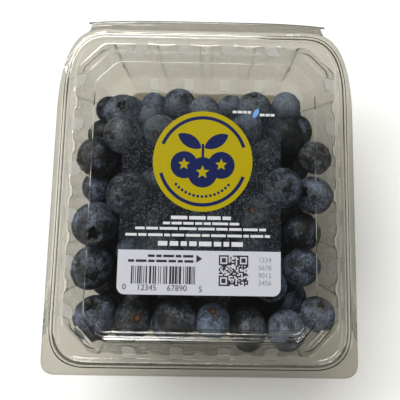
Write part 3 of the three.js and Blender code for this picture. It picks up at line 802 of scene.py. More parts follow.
# How much bloom each of the first berries keeps, and how blue that bloom is, both from 0 to 1.
berryBloom = [
    (0.45, 0.2), (0.6, 0.3), (0.45, 0.2), (0.65, 0.15), (0.6, 0.2), (0.45, 0.2), (0.85, 0.15), (0.42, 0.05),
    (0.65, 0.1), (0.6, 0.1), (0.02, 0.2), (0.15, 0.3), (0.3, 0.5), (0.25, 0.3), (0.4, 0.3), (0.25, 0.35),
    (0.4, 0.35), (0.2, 0.05), (0.25, 0.2), (0.6, 0.5), (0.2, 0.1), (0.6, 0.3), (0.45, 0.25), (0.55, 0.55),
    (0.35, 0.45), (0.1, 0.5), (0.4, 0.4), (0.4, 0.45), (0.25, 0.05), (0.1, 0.5), (0.2, 0.0), (0.4, 0.1),
    (0.05, 0.6), (0.2, 0.1), (0.05, 0.3), (0.3, 0.3), (0.15, 0.4),
]
berry = {
    "oblate": 0.92,  # length over width
    "swell": 1.045,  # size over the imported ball's, as berries give a little where they touch
    "crownRadius": 0.36,  # share of the berry's radius
    "crownAngle": 0.385,  # the crown's rim and end before it is sized, in radians from the pole
    "crownEnd": 0.64,
    "pitAngle": 0.36,  # the pit's edge between two arms of its star, and how far an arm reaches in
    "pitArms": 0.13,
    "crownDepth": 0.2,
    "lobeHeight": 0.06,
    "lobeFlare": 0.06,
    "scarRadius": 0.2,
    # Angles of the rows: dense in the crown, and dense again at the stem scar.
    "crownRows": [0.0, 0.1, 0.2, 0.29, 0.35, 0.385, 0.42, 0.47, 0.54],
    "stemRows": [2.91, 2.96, 3.01, 3.07, math.pi],
    "stemFrom": 2.82,
    "topSteps": (34, 48),  # rows from pole to pole, and points round
    "lowSteps": (26, 28),
    "bloom": (0.25, 0.6),  # bloom and blue of the berries that have no row above
    "blue": (0.2, 0.8),
    "seed": 11,
}


# Unit berries, pole to pole: an oblate ball whose top is pressed into a five-lobed crown. Gives
# points (count, rows, columns, 3), and how near each is to the crown's and the scar's pole.
def berryForms(random, count, rows, columns):
    each = (count, 1, 1)
    phi = np.arange(columns) * 2 * math.pi / columns
    crownRows, stemRows, crownEnd = berry["crownRows"], berry["stemRows"], berry["crownEnd"]
    body = np.linspace(crownEnd, berry["stemFrom"], rows - len(crownRows) - len(stemRows))
    theta = np.concatenate([crownRows, body, stemRows])[None, :, None]
    angle = phi[None, None, :] + random.uniform(0, 2 * math.pi, each)
    ragged = random.normal(0, 0.22, (count, 1, columns)).clip(-0.4, 0.4)
    lobes = np.abs(np.cos(2.5 * angle)) ** 0.8 + ragged
    # The pit's edge is a five-armed star, ragged from column to column.
    edge = berry["pitAngle"] - berry["pitArms"] * lobes
    oblate = berry["oblate"] + random.uniform(-0.04, 0.04, each)
    size = berry["crownRadius"] * random.uniform(0.85, 1.2, each) / berry["crownAngle"]
    # Rim, skirt, stem and scar are bell curves about their angles.
    rim = np.exp(-(((theta - 0.37) / 0.06) ** 2))
    skirt = np.exp(-(((theta - 0.5) / 0.12) ** 2))
    floor = eased((edge - theta) / 0.12 + 0.5)
    # The crown's angles are stretched to its size, less and less towards its end.
    spread = np.where(theta < crownEnd, 1 + (size - 1) * (1 - (theta / crownEnd) ** 3), 1)
    rho = np.sin(theta * spread)
    rho = rho * (1 + berry["lobeFlare"] * rim * (lobes - 0.45))
    z = oblate * np.cos(theta) - berry["crownDepth"] * floor * (theta < 1)
    z = z + berry["lobeHeight"] * rim * lobes - 0.035 * skirt + 0.03 * np.exp(-((theta / 0.07) ** 2))
    stem = np.exp(-(((math.pi - theta) / 0.3) ** 2))
    z = z + 0.05 * stem - 0.03 * np.exp(-(((math.pi - theta - berry["scarRadius"]) / 0.04) ** 2))
    # A gentle unevenness of each berry, as low waves.
    a, b, c = (random.uniform(0, 2 * math.pi, each) for _ in range(3))
    wave = 0.012 * np.sin(2 * angle + a) * np.sin(theta) + 0.01 * np.sin(3 * theta + b)
    wave = wave + 0.007 * np.sin(3 * angle + c) * np.sin(theta) ** 2
    rho = rho * (1 + wave)
    points = np.stack([rho * np.cos(phi), rho * np.sin(phi), z + 0 * phi], axis=-1)
    # 1 in the pit, a half at its edge, 0 where the lobes end.
    pitShare = np.clip((edge - theta) / 0.08, 0, 1)
    crown = 0.5 * pitShare + 0.5 * np.clip((0.5 - theta) / (0.5 - edge), 0, 1)
    stem = np.clip(1 - (math.pi - theta) / 0.6, 0, 1) + 0 * angle
    return points, crown, stem


# Rotation matrices that take +Z to each axis, after a spin about it.
def turnedTo(axes, spins):
    axes = axes / np.linalg.norm(axes, axis=1, keepdims=True)
    helper = np.where(np.abs(axes[:, 2:3]) > 0.9, [[1.0, 0, 0]], [[0, 0, 1.0]])
    first = np.cross(helper, axes)
    first = first / np.linalg.norm(first, axis=1, keepdims=True)
    second = np.cross(axes, first)
    cos, sin = np.cos(spins)[:, None], np.sin(spins)[:, None]
    return np.stack([cos * first + sin * second, cos * second - sin * first, axes], axis=-1)


# The direction of each berry's crown: lying for the shown ones, any way for the others, and as
# its row says for a berry whose crown or scar shows.
def berryAxes(random, at):
    count = len(at)
    around = random.uniform(0, 2 * math.pi, count)
    lift = random.normal(-0.3, 0.08, count)
    axes = np.stack([np.cos(around), np.sin(around), lift], axis=-1)
    loose = random.normal(0, 1, (count, 3))
    axes[len(shownBerries) :] = loose[len(shownBerries) :]
    cameraUp = cameraRotation()[:, 1]
    for i, (kind, right, up) in berryFeatures.items():
        sight = np.array(camera["place"]) - at[i]
        sight = sight / np.linalg.norm(sight)
        toRight = np.cross(cameraUp, sight)
        toRight = toRight / np.linalg.norm(toRight)
        depth = math.sqrt(max(0.0, 1 - right**2 - up**2))
        axis = right * toRight + up * np.cross(sight, toRight) + depth * sight
        axes[i] = axis if kind == "crown" else -axis
    return axes


# Berries as one mesh; the pole rows become one point each. Each point keeps what the skin is
# drawn from: nearness to crown and stem, bloom, blue and a place of its own for the patterns.
def berryPiece(name, at, radius, axes, looks, random, steps, material):
    rows, columns = steps
    forms, crown, stem = berryForms(random, len(at), rows, columns)
    turns = turnedTo(axes, random.uniform(0, 2 * math.pi, len(at)))
    points = np.einsum("bij,brcj->brci", turns, forms) * (berry["swell"] * radius)[:, None, None, None]
    points = points + at[:, None, None]
    index = np.arange(len(at) * rows * columns).reshape(len(at), rows, columns)
    index[:, 0] = index[:, 0, :1]
    index[:, -1] = index[:, -1, :1]
    right = np.roll(index, -1, axis=2)
    quads = np.stack([index[:, 1:-2], index[:, 2:-1], right[:, 2:-1], right[:, 1:-2]], -1).reshape(-1, 4)
    top = np.stack([index[:, 0], index[:, 1], right[:, 1]], -1).reshape(-1, 3)
    low = np.stack([index[:, -1], right[:, -2], index[:, -2]], -1).reshape(-1, 3)
    used, faces = usedOnly(index.size, [quads, top, low])
    piece = addPiece(name, points.reshape(-1, 3)[used], faces, material, "tub")
    bloom, blue = looks.T[:, :, None, None]
    for key, value in {"crown": crown, "stem": stem, "bloom": bloom, "blue": blue}.items():
        addValues(piece, key, np.broadcast_to(value, crown.shape).ravel()[used])
    own = forms + random.uniform(0, 50, (len(at), 1, 1, 1))
    vector = piece.data.attributes.new("own", "FLOAT_VECTOR", "POINT")
    vector.data.foreach_set("vector", own.reshape(-1, 3)[used].astype(np.float32).ravel())
    return piece


# Blueberry skin: near black, under a waxy bloom that is rubbed off in patches and scratches. The
# bloom is matt and grey to blue; bare skin is darker and a little glossy. The stem scar is dry
# and brown with a dark rim and a paler halo, and the crown's pit is painted near black: its own
# dark inside with painted shade of the recess over it. Patterns are scaled to a berry's radius,
# about 7.5 mm: patches of 5 mm, mottling of 1 mm, specks of a quarter millimetre and rubs 3 mm apart.
def berrySkin():
    material, tree = newMaterial("blueberry skin with bloom")
    own = addNode(tree, "Attribute", {"attribute_name": "own"}).outputs["Vector"]
    crown, stem, bloom, blue = (
        addNode(tree, "Attribute", {"attribute_name": name}).outputs["Fac"]
        for name in ("crown", "stem", "bloom", "blue")
    )
    patches = addNode(tree, "TexNoise", Vector=own, Scale=1.5, Detail=6.0, Roughness=0.62)
    mottle = addNode(tree, "TexNoise", Vector=own, Scale=8.0, Detail=5.0, Roughness=0.85)
    specks = addNode(tree, "TexNoise", Vector=own, Scale=30.0, Detail=2.0, Roughness=0.6)
    rubs = addNode(tree, "TexNoise", Vector=own, Scale=2.4, Detail=2.0, Distortion=1.5)
    # Bloom: large patches plus mottling plus the berry's own amount.
    patchy = addNode(tree, "Math", multiplyAdd, i0=patches, i1=1.3, i2=mottle)
    amount = addNode(tree, "Math", multiplyAdd, i0=bloom, i1=0.55, i2=patchy)
    smooth = {"interpolation_type": "SMOOTHSTEP"}
    waxed = addNode(tree, "MapRange", smooth, Value=amount, From_Min=1.16, From_Max=1.66)
    # Rubs are thin bare lines, where a wavy noise passes its middle value.
    off = addNode(tree, "Math", {"operation": "SUBTRACT"}, i0=rubs, i1=0.5)
    line = addNode(tree, "Math", {"operation": "ABSOLUTE"}, i0=off)
    rubbed = addNode(tree, "MapRange", Value=line, From_Max=0.02, To_Min=0.4, To_Max=1.0)
    wax = addNode(tree, "Math", multiply, i0=waxed, i1=rubbed)
    tint = addNode(tree, "Mix", asColour, i0=blue, i6="#9AA4B8", i7="#7E9BD6")
    thickness = addNode(tree, "MapRange", Value=mottle, From_Min=0.32, From_Max=0.62, To_Min=0.15)
    waxTone = addNode(tree, "Mix", asColour, i0=thickness, i6="#2A334A", i7=tint)
    # The scar itself: dry cracked brown at the pole, with a dark rim.
    cracks = addNode(tree, "MapRange", Value=specks, From_Min=0.38, From_Max=0.62)
    dry = addNode(tree, "Mix", asColour, i0=cracks, i6="#2A160A", i7="#A06F45")
    inRim = addNode(tree, "MapRange", Value=stem, From_Min=0.68, From_Max=0.9)
    scar = addNode(tree, "Mix", asColour, i0=inRim, i6="#0D0906", i7=dry)
    # Layers over the skin: what each follows, from where to where it comes in, its share, its tone.
    layers = [
        (specks, 0.58, 0.72, 0.35, "#7C869A"),  # dust
        (crown, 0.02, 0.3, 0.5, "#50535A"),  # dry greyish lobes
        # The pit's near black is its own dark inside with painted shade of the recess over it.
        (crown, 0.5, 0.75, 1.0, "#040507"),  # the dark pit between them
        (stem, 0.25, 0.6, 0.4, "#4C5058"),  # the scar's halo
        (stem, 0.61, 0.66, 1.0, scar),
    ]
    tone = addNode(tree, "Mix", asColour, i0=wax, i6="#070A11", i7=waxTone)
    for value, start, full, most, over in layers:
        share = addNode(tree, "MapRange", Value=value, From_Min=start, From_Max=full, To_Max=most)
        tone = addNode(tree, "Mix", asColour, i0=share, i6=tone, i7=over)
    rough = addNode(tree, "MapRange", Value=wax, To_Min=0.4, To_Max=0.75)
    height = addNode(tree, "Math", multiplyAdd, i0=specks, i1=0.4, i2=mottle)
    relief = addNode(tree, "Bump", Strength=0.5, Distance=0.0003, Height=height)
    surface = addNode(
        tree, "BsdfPrincipled", Base_Color=tone, Roughness=rough, Specular_IOR_Level=0.25,
        Sheen_Weight=0.03, Sheen_Roughness=0.5, Sheen_Tint="#9FB0D0", Normal=relief,
    )
    addNode(tree, "OutputMaterial", Surface=surface)
    return material


# A plain dark filling inside the heap, so that no light shows through between berries.
def heapCore(material):
    levels = np.array([level(reach, z, heap["coreCut"]) for reach, z in heap["core"]])
    grid = loft(levels, heap["coreSpacing"])
    points, quads, fan = closedCap(grid)
    stations = grid.shape[1]
    bottom = np.arange(stations)
    low = np.stack([np.roll(bottom, -1), bottom, np.full(stations, len(points))], -1)
    points = np.concatenate([points, grid[0].mean(axis=0)[None]])
    return addPiece("heap_core", points, [quads, fan, low], material, "tub")


def buildBerries():
    at, radius = settledBerries()
    skin = berrySkin()
    random = np.random.default_rng(berry["seed"])
    axes = berryAxes(random, at)
    looks = np.stack([random.uniform(*berry[key], len(at)) for key in ("bloom", "blue")], -1)
    looks[: len(berryBloom)] = berryBloom
    top = at[:, 2] > heap["topFrom"]
    pieces = []
    for name, some, steps in (("berries_top", top, "topSteps"), ("berries_below", ~top, "lowSteps")):
        parts = (values[some] for values in (at, radius, axes, looks))
        pieces.append(berryPiece(name, *parts, random, berry[steps], skin))
    pieces.append(heapCore(skin))
    for piece in pieces:
        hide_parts("blueberries")
    print("berries built", len(at), [len(p.data.polygons) for p in pieces])


# The label on the lid's panel: clear film, and print in two layers.
label = {
    "left": -31.6,
    "right": 29.9,
    "bottom": -38.0,
    "stripTop": -21.8,
    "top": 33.8,
    "corner": 3.0,
    "stripInset": 0.1,
    "stripCorner": 0.05,  # of the strip's straight back edge
    "film": 0.06,  # thickness of the film, and of each print above it
    "print": 0.03,
    "rise": 0.04,  # film above the panel
    "between": 0.01,  # from film to print, and from print to print
    "discX": -0.4,
    "discY": 11.9,
    "discRadius": 19.3,
    "ringOuter": 17.4,
    "ringInner": 16.1,
    "ringArcs": ((19, 158), (197, 339.5)),  # degrees
    "dotArc": (13.6, 222, 318, 15),  # radius, first and last degree, and how many dots
    "dotRadius": 0.55,
    "berries": [(-7.2, -1.6, 5.2), (7.2, -1.6, 5.2), (0, -4.4, 5.8)],  # X, Y from the disc, radius
    "berrySteps": 40,
    "crowns": [(-7.2, -1.4, 2.4, 1.1), (7.2, -1.4, 2.4, 1.1), (0, -4.4, 2.7, 1.2)],  # X, Y, outer, inner
    "leaves": [(-5.2, 7.6, 10.5, 4.8, 150), (5.2, 7.6, 10.5, 4.8, 30)],  # X, Y, length, width, turn
    "stalk": (0.5, 1.0, 6.5),  # half its width, and its ends
    # Rows of small print in white, and in black on the strip: left, right, middle height, height,
    # shortest and longest dash, and the space after one. The last two white rows are by the leaf.
    "whiteRows": [
        (-12, 10.8, -9.7, 1.3, 3, 7, 0.7), (-15, 14, -11.8, 0.95, 2.5, 6, 0.6),
        (-25.4, 24.2, -13.8, 0.95, 2.5, 7, 0.6), (-29, 27.6, -16.2, 0.95, 2, 6, 0.6),
        (-16.6, 15.5, -19.3, 1.7, 1.5, 5.5, 0.9), (11, 18.6, 31.2, 1.0, 1, 2.2, 0.35),
        (21.6, 28.8, 30.2, 1.0, 1, 2.2, 0.35),
    ],
    "darkRows": [(-20.2, -2.2, -23.9, 0.9, 2, 4.2, 0.6), (-27.6, -2.2, -25.75, 0.9, 1.2, 4.2, 0.6)],
    "badgeLeaf": (20.1, 30.8, 4.2, 1.9, 62),
    "bars": (-26.8, -34.0, -2.0, -27.6),  # left, bottom, right, top
    "barWidths": ([0.26, 0.52, 0.78], [0.5, 0.32, 0.18]),  # and how often each comes
    "barCount": 60,
    "squares": (6.5, -23.3, 11.1, 21),  # left, top, side and how many along a side
    "arrow": [(-2.0, -26.2), (0.2, -24.75), (-2.0, -23.3)],
    "numbers": [
        ("0", -28.7, -35.1), ("12345", -20.3, -35.3), ("67890", -9.0, -35.4), ("5", -0.2, -35.7),
    ],
    "numberHeight": 2.1,
    "figures": [
        ("1234", 23.8, -24.8), ("5678", 23.8, -27.65), ("9012", 23.8, -30.4), ("3456", 23.8, -33.1),
    ],
    "figureHeight": 1.75,
    # Each ink's two tones.
    "inks": {
        "yellow": ("#9F9100", "#988800"),
        "pale grey-white": ("#BBBCC3", "#B6B7BE"),
        "navy": ("#0B1742", "#0F1C4A"),
        "white": ("#CCCCCE", "#BCBDC0"),
        "black": ("#26262B", "#303036"),
        "grey": ("#77787D", "#85868B"),
        "light blue": ("#5E8FC4", "#6C9ACC"),
    },
    "seed": 5,
}
filmTop = panelZ + label["rise"] + label["film"]


# Flat closed plates. Each outline (n, 2), counter-clockwise, is seen whole from its centre.
def plates(outlines, low, high):
    outlines = np.asarray(outlines, float)
    many, n = outlines.shape[:2]
    flat = np.concatenate([outlines, outlines.mean(axis=1, keepdims=True)], axis=1)
    faces = [np.concatenate([flat, np.full((many, n + 1, 1), z)], -1) for z in (low, high)]
    points = np.concatenate(faces, axis=1)
    a = np.arange(n)
    b = (a + 1) % n
    top = np.stack([n + 1 + a, n + 1 + b, np.full(n, 2 * n + 1)], -1)
    base = np.stack([b, a, np.full(n, n)], -1)
    sides = np.stack([a, b, n + 1 + b, n + 1 + a], -1)
    step = (np.arange(many) * 2 * (n + 1))[:, None, None]
    tris = (np.concatenate([top, base]) + step).reshape(-1, 3)
    return points.reshape(-1, 3), tris, (sides + step).reshape(-1, 4)


# A flat closed band between two edge lines of equal length, the outer one on the right-hand side.
def bandPlate(outer, inner, low, high):
    n = len(outer)
    rows = [(outer, low), (outer, high), (inner, high), (inner, low)]
    points = np.concatenate([np.concatenate([edge, np.full((n, 1), z)], -1) for edge, z in rows])
    index = np.arange(4 * n).reshape(4, n)
    right = np.roll(index, -1, axis=0)
    quads = np.stack([index[:, :-1], index[:, 1:], right[:, 1:], right[:, :-1]], -1).reshape(-1, 4)
    ends = np.array([index[:, 0], index[::-1, -1]])
    return points, np.zeros((0, 3), int), np.concatenate([quads, ends])


# Several (points, triangles, quads) as one.
def joined(shapes):
    counts = np.cumsum([0] + [len(shape[0]) for shape in shapes])
    points = np.concatenate([shape[0] for shape in shapes])
    tris, quads = (np.concatenate([s[k] + c for s, c in zip(shapes, counts)]) for k in (1, 2))
    return points, tris, quads


# Points at these angles and distances about a centre.
def polar(x, y, radius, angle):
    return np.stack([x + radius * np.cos(angle), y + radius * np.sin(angle)], -1)


def circle(x, y, radius, steps):
    return polar(x, y, radius, np.linspace(0, 2 * math.pi, steps, endpoint=False))


def arc(x, y, radius, start, end, steps=60):
    return polar(x, y, radius, np.radians(np.linspace(start, end, steps)))


def star(x, y, outer, inner):
    corner = np.arange(10)
    return polar(x, y, np.where(corner % 2, inner, outer), math.pi / 2 + corner * math.pi / 5)


# Rectangle outline; radii for the corners bottom right, top right, top left, bottom left.
def roundedBox(left, bottom, right, top, radii):
    t = np.linspace(0, math.pi / 2, 8)
    corners = [(right, bottom, -1, 1), (right, top, -1, -1), (left, top, 1, -1), (left, bottom, 1, 1)]
    parts = []
    for k, ((x, y, inX, inY), radius) in enumerate(zip(corners, radii)):
        parts.append(polar(x + inX * radius, y + inY * radius, radius, t + (k - 1) * math.pi / 2))
    return np.concatenate(parts)


# Plain rectangles (left, bottom, right, top) as plates.
def bars(rows, low, high):
    left, bottom, right, top = np.asarray(rows, float).T
    corners = [(left, bottom), (right, bottom), (right, top), (left, top)]
    return plates(np.stack([np.stack(c, -1) for c in corners], axis=1), low, high)


# A row of word-long dashes between left and right, for a line of small print.
def dashes(random, left, right, y, height, shortest, longest, space):
    out = []
    x = left
    while x < right - shortest:
        end = min(x + random.uniform(shortest, longest), right)
        out.append([x, y - height / 2, end, y + height / 2])
        x = end + space
    return out


# Two even curves that meet in points at both ends: one less the square of the place along, to
# the power 0.8.
def leaf(x, y, length, width, turn):
    t = np.linspace(-1, 1, 24)
    swell = (1 - t**2) ** 0.8 * width / 2
    upper = np.stack([t[::-1] * length / 2, swell[::-1]], -1)
    lower = np.stack([t[1:-1] * length / 2, -swell[1:-1]], -1)
    cos, sin = math.cos(math.radians(turn)), math.sin(math.radians(turn))
    return np.concatenate([upper, lower]) @ np.array([[cos, sin], [-sin, cos]]) + [x, y]


# Plain digits as thin closed solids. rows: text, x and y of its middle.
def digitPlates(rows, height, z):
    shapes = []
    for text, x, y in rows:
        curve = bpy.data.curves.new("digits", "FONT")
        curve.body = text
        curve.size = height / 0.7  # a digit is 0.7 of the font's size high
        curve.align_x = "CENTER"
        curve.resolution_u = 3
        curve.extrude = label["print"] / 2
        holder = newObject("digits", curve)
        graph = bpy.context.evaluated_depsgraph_get()
        flat = bpy.data.meshes.new_from_object(holder.evaluated_get(graph))
        solid = bmesh.new()
        solid.from_mesh(flat)
        bmesh.ops.remove_doubles(solid, verts=solid.verts, dist=1e-4)
        bmesh.ops.triangulate(solid, faces=solid.faces)
        bmesh.ops.recalc_face_normals(solid, faces=solid.faces)
        solid.to_mesh(flat)
        solid.free()
        points = np.zeros(3 * len(flat.vertices))
        flat.vertices.foreach_get("co", points)
        corners = np.zeros(3 * len(flat.polygons), np.int32)
        flat.loops.foreach_get("vertex_index", corners)
        points = points.reshape(-1, 3) + [x, y - height / 2, z + label["print"] / 2]
        shapes.append((points, corners.reshape(-1, 3), np.zeros((0, 4), int)))
        bpy.data.objects.remove(holder)
        bpy.data.curves.remove(curve)
        bpy.data.meshes.remove(flat)
    return joined(shapes)


# Printing ink under gloss lacquer: even colour with a faint mottle and a soft gloss. The mottle
# is drawn at 2.5 mm, coarser than it is, so that it shows.
def ink(name):
    material, tree = newMaterial(name + " flexo ink")
    place = addNode(tree, "TexCoord").outputs["Object"]
    fine = addNode(tree, "TexNoise", Vector=place, Scale=400.0, Detail=3.0)
    main, darker = label["inks"][name]
    tint = addNode(tree, "Mix", asColour, i0=fine, i6=main, i7=darker)
    surface = addNode(
        tree, "BsdfPrincipled", Base_Color=tint, Roughness=0.42, IOR=1.45, Specular_IOR_Level=0.3,
        Coat_Weight=0.05, Coat_Roughness=0.15,
    )
    addNode(tree, "OutputMaterial", Surface=surface)
    return material


# Clear polypropylene label film: its glue layer holds tiny air specks, which make a fine
# pale grain over what lies under it, drawn at half a millimetre so that it shows, and stronger in
# clouds of about a centimetre.
def clearFilm():
    material, tree = newMaterial("clear polypropylene label film")
    place = addNode(tree, "TexCoord").outputs["Object"]
    cells = addNode(tree, "TexVoronoi", Vector=place, Scale=1900.0)
    cloud = addNode(tree, "TexNoise", Vector=place, Scale=90.0, Detail=3.0)
    # A speck in the middle of each cell, brighter in some cells than in others.
    dot = addNode(tree, "MapRange", Value=cells, From_Min=0.2, From_Max=0.45, To_Min=1.0, To_Max=0.0)
    chosen = addNode(tree, "MapRange", Value=cells.outputs["Color"], From_Min=0.25, From_Max=0.95)
    haze = addNode(tree, "MapRange", Value=cloud, From_Min=0.3, From_Max=0.7, To_Min=0.15, To_Max=0.55)
    speck = addNode(tree, "Math", multiply, i0=dot, i1=chosen)
    share = addNode(tree, "Math", multiplyAdd, i0=speck, i1=haze, i2=0.014)
    clear = addNode(tree, "BsdfTransparent", Color="#F0F1EF")
    gloss = addNode(tree, "BsdfPrincipled", Base_Color="#8E96A4", Roughness=0.3, IOR=1.49)
    mix = addNode(tree, "MixShader", i0=share, i1=clear, i2=gloss)
    addNode(tree, "OutputMaterial", Surface=mix)
    return material


def addPrint(name, shapes, material):
    points, tris, quads = joined(shapes)
    return addPiece(name, points, [tris, quads], material, "lid", smooth=False)


def buildLabel():
    random = np.random.default_rng(label["seed"])
    left, right, bottom, top, corner = (label[k] for k in ("left", "right", "bottom", "top", "corner"))
    cx, cy = label["discX"], label["discY"]
    lift = label["between"]
    z0 = filmTop + lift
    z1 = z0 + label["print"]
    z2 = z1 + lift
    z3 = z2 + label["print"]
    inset = label["stripInset"]
    whole = roundedBox(left, bottom, right, top, [corner] * 4)
    radii = [corner, label["stripCorner"], label["stripCorner"], corner]
    strip = roundedBox(left + inset, bottom + inset, right - inset, label["stripTop"], radii)
    yellow = ink("yellow")
    film = addPrint("label_sheet", [plates([whole], panelZ + label["rise"], filmTop)], clearFilm())
    discPrint = addPrint("disc_print", [plates([circle(cx, cy, label["discRadius"], 96)], z0, z1)], yellow)
    stripPrint = addPrint("strip_print", [plates([strip], z0, z1)], ink("pale grey-white"))
    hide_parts("label_film")
    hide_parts("label_disc")
    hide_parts("label_strip")

    # The disc's own design: a broken ring, a sprig of three berries and an arc of dots.
    def onDisc(row):
        return (cx + row[0], cy + row[1], *row[2:])

    shapes = []
    for start, end in label["ringArcs"]:
        edges = (arc(cx, cy, label[key], start, end) for key in ("ringOuter", "ringInner"))
        shapes.append(bandPlate(*edges, z2, z3))
    balls = [circle(*onDisc(row), label["berrySteps"]) for row in label["berries"]]
    wide, low, high = label["stalk"]
    stalk = [np.array([[cx + x, cy + low], [cx + x, cy + high]]) for x in (wide, -wide)]
    shapes.append(plates(balls[:2], z2, z3))
    shapes.append(plates(balls[2:], z2 + lift, z3 + lift))
    shapes.append(plates([leaf(*onDisc(row)) for row in label["leaves"]], z2, z3))
    shapes.append(bandPlate(*stalk, z2, z3))
    dots = [circle(*point, label["dotRadius"], 12) for point in arc(cx, cy, *label["dotArc"])]
    shapes.append(plates(dots, z2, z3))
    addPrint("navy_print", shapes, ink("navy"))
    crowns = [star(*onDisc(row)) for row in label["crowns"]]
    addPrint("crown_print", [plates(crowns, z3 + 2 * lift, z3 + 4 * lift)], yellow)
    whiteRows = [row for line in label["whiteRows"] for row in dashes(random, *line)]
    addPrint("white_print", [bars(whiteRows, z0, z1)], ink("white"))
    addPrint("badge_print", [plates([leaf(*label["badgeLeaf"])], z0, z1)], ink("light blue"))

    # The strip: plain bars, a field of small squares, dashes, an arrowhead and plain numbers.
    darkRows = [row for line in label["darkRows"] for row in dashes(random, *line)]
    barLeft, barBottom, barRight, barTop = label["bars"]
    widths, chances = label["barWidths"]
    edges = barLeft + np.cumsum(random.choice(widths, label["barCount"], p=chances))
    darkRows += [[a, barBottom, b, barTop] for a, b in zip(edges[:-1:2], edges[1::2]) if b < barRight]
    squareLeft, squareTop, side, many = label["squares"]
    size = side / many
    cells = random.random((many, many)) < 0.5
    # Three corners hold a ring of squares, seven wide, about a block of three.
    for r, c in ((0, 0), (0, many - 7), (many - 7, 0)):
        cells[r : r + 7, c : c + 7] = True
        cells[r + 1 : r + 6, c + 1 : c + 6] = False
        cells[r + 2 : r + 5, c + 2 : c + 5] = True
    for r, c in zip(*np.nonzero(cells)):
        x, y = squareLeft + c * size, squareTop - r * size
        darkRows.append([x, y - size, x + size, y])
    numbers = digitPlates(label["numbers"], label["numberHeight"], z2)
    dark = [bars(darkRows, z2, z3), plates([label["arrow"]], z2, z3), numbers]
    addPrint("dark_print", dark, ink("black"))
    addPrint("grey_print", [digitPlates(label["figures"], label["figureHeight"], z2)], ink("grey"))
    print("label built")


# Camera, light and floor.
camera = {
    "turn": (-0.1269, 0.0101, -0.0197),  # radians about X, Y and Z
    "place": (2.27, 9.81, 225.2),
    "lens": 37.845,
    "sensor": 36,
    "shift": (-0.037, -0.218),
    "clip": (0.01, 10),
}
# Lengths here are in metres.
studio = {
    "floorHalf": 3.0,
    "floorDrop": 0.0002,  # under the pack
    "paper": ("#FAFAF8", "#FDFDFB"),
    # Painted shade: the paper seen through one sheet alone.
    "paintedShadeBehindSheet": "#D8D8D4",
    # Painted darker tone of the paper after any glossy or diffuse bounce: a painted dark reflection.
    "paintedDarkAfterBounce": "#55534F",
    # Height of the sky, as the Z of a direction, and its brightness there.
    "sky": [(0.1, 0.05), (0.35, 0.3), (0.72, 0.42), (0.93, 0.06)],
    "skyFront": 0.6,  # factors of that brightness towards the front and the back
    "skyBack": 1.5,
    "backdrop": "#F6F6F4",
    "backdropLight": 0.85,
    # Name, place, width and height, watts and tint of each softbox. All look at one place.
    "softboxes": [
        ("window", (-0.45, 0.8, 0.95), (1.4, 0.4), 22.5, "#FFFFFF"),
        ("leftFill", (-0.8, -0.15, 0.9), (0.7, 0.5), 2.4, "#FFFDF8"),
        ("rightFill", (0.8, -0.25, 0.9), (0.7, 0.5), 1.5, "#FFFDF8"),
    ],
    "aim": (0, 0, 0.04),
}


# Turns about X, then Y, then Z, turned back, so that the columns are right, up and back of the
# camera.
def cameraRotation():
    x, y, z = camera["turn"]
    aboutX = np.array([[1, 0, 0], [0, math.cos(x), -math.sin(x)], [0, math.sin(x), math.cos(x)]])
    aboutY = np.array([[math.cos(y), 0, math.sin(y)], [0, 1, 0], [-math.sin(y), 0, math.cos(y)]])
    aboutZ = np.array([[math.cos(z), -math.sin(z), 0], [math.sin(z), math.cos(z), 0], [0, 0, 1]])
    return (aboutZ @ aboutY @ aboutX).T


# A matrix from a rotation's columns and a place in metres.
def placed(turn, place):
    matrix = np.eye(4)
    matrix[:3, :3] = turn
    matrix[:3, 3] = place
    return Matrix(matrix.tolist())


def buildCamera():
    data = bpy.data.cameras.new("camera")
    data.lens = camera["lens"]
    data.sensor_width = camera["sensor"]
    data.shift_x, data.shift_y = camera["shift"]
    data.clip_start, data.clip_end = camera["clip"]
    eye = newObject("camera", data)
    eye.rotation_mode = "QUATERNION"
    eye.matrix_world = placed(cameraRotation(), np.array(camera["place"]) * mm)
    bpy.context.scene.camera = eye


def addSoftbox(name, place, size, power, tint):
    data = bpy.data.lights.new(name, "AREA")
    data.shape = "RECTANGLE"
    data.size, data.size_y = size
    data.energy = power
    data.color = colour(tint)[:3]
    back = np.array(place) - np.array(studio["aim"])
    newObject(name, data).matrix_world = placed(turnedTo(back[None], np.zeros(1))[0], place)


# Matt studio paper: even and pale, without gloss, and with a grain drawn at about a millimetre.
# After any glossy or diffuse bounce it is painted darker: a painted dark reflection in the plastic,
# so that the plastic's slopes stay clear, and painted shade in the light it throws back.
def studioPaper():
    material, tree = newMaterial("matt studio paper")
    place = addNode(tree, "TexCoord").outputs["Object"]
    grain = addNode(tree, "TexNoise", Vector=place, Scale=900.0)
    pale, paler = studio["paper"]
    tint = addNode(tree, "Mix", asColour, i0=grain, i6=pale, i7=paler)
    path = addNode(tree, "LightPath").outputs
    bounces = addNode(tree, "Math", {"operation": "ADD"}, i0=path["Glossy Depth"], i1=path["Diffuse Depth"])
    reflected = addNode(tree, "Math", {"operation": "GREATER_THAN"}, i0=bounces, i1=0.5)
    # Painted shade: a little darker seen through one sheet alone, which has two faces, so that the
    # openings in the other don't glare.
    passed = path["Transmission Depth"]
    behind = addNode(tree, "Math", {"operation": "COMPARE"}, i0=passed, i1=2.0, i2=1.1)
    shaded = addNode(tree, "Mix", asColour, i0=behind, i6=tint, i7=studio["paintedShadeBehindSheet"])
    # The paper is painted dark after a glossy or diffuse bounce, in reflections and in bounced light.
    dim = addNode(tree, "Mix", asColour, i0=reflected, i6=shaded, i7=studio["paintedDarkAfterBounce"])
    paper = addNode(tree, "BsdfPrincipled", Base_Color=dim, Roughness=0.9)
    addNode(tree, "OutputMaterial", Surface=paper)
    return material


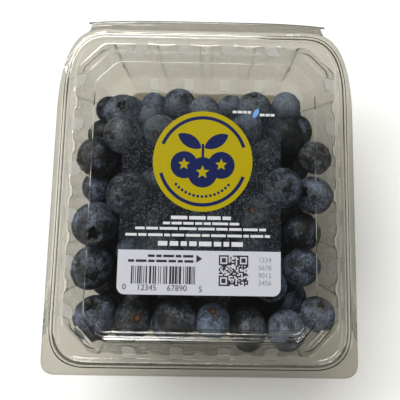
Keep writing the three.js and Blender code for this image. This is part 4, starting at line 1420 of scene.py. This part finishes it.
def buildFloor():
    mesh = bpy.data.meshes.new("floor")
    half, z = studio["floorHalf"], -studio["floorDrop"]
    corners = [(-half, -half, z), (half, -half, z), (half, half, z), (-half, half, z)]
    mesh.from_pydata(corners, [], [(0, 1, 2, 3)])
    mesh.materials.append(studioPaper())
    floor = newObject("floor", mesh)


# Soft room light: dim at the level of the pack and straight above it, so that the clear walls and
# the flat lid stay clear, and brighter in between and towards the window. What the camera sees,
# straight or through the plastic, is the pale backdrop instead.
def buildSky():
    world = bpy.data.worlds.new("studio")
    world.use_nodes = True
    sky = world.node_tree
    place = addNode(sky, "TexCoord").outputs["Generated"]
    direction = addNode(sky, "SeparateXYZ", Vector=place).outputs
    height = addNode(sky, "ValToRGB", Fac=direction["Z"])
    stops = height.color_ramp.elements
    while len(stops) < len(studio["sky"]):
        stops.new(1.0)
    for k, (position, value) in enumerate(studio["sky"]):
        stops[k].position = position
        stops[k].color = (value, value, value, 1)
    ends = {"To_Min": studio["skyFront"], "To_Max": studio["skyBack"]}
    towards = addNode(sky, "MapRange", Value=direction["Y"], From_Min=-1.0, From_Max=1.0, **ends)
    strength = addNode(sky, "Math", multiply, i0=height, i1=towards)
    path = addNode(sky, "LightPath").outputs
    unreflected = addNode(sky, "Math", {"operation": "LESS_THAN"}, i0=path["Glossy Depth"], i1=0.5)
    through = addNode(sky, "Math", multiply, i0=path["Is Transmission Ray"], i1=unreflected)
    direct = addNode(sky, "Math", maximum, i0=path["Is Camera Ray"], i1=through)
    seen = addNode(sky, "Mix", {"data_type": "FLOAT"}, i0=direct, i2=strength, i3=studio["backdropLight"])
    background = sky.nodes["Background"]
    background.inputs["Color"].default_value = colour(studio["backdrop"])
    sky.links.new(seen.outputs[0], background.inputs["Strength"])
    bpy.context.scene.world = world


def buildStudio():
    buildFloor()
    buildSky()
    for box in studio["softboxes"]:
        addSoftbox(*box)
    scene = bpy.context.scene
    scene.view_settings.view_transform = "Standard"
    scene.cycles.transparent_max_bounces = 32
    scene.cycles.max_bounces = 16
    scene.cycles.transmission_bounces = 16
    scene.cycles.use_denoising = True
    print("studio built")


buildCamera()
buildShells()
buildBerries()
buildLabel()
buildStudio()
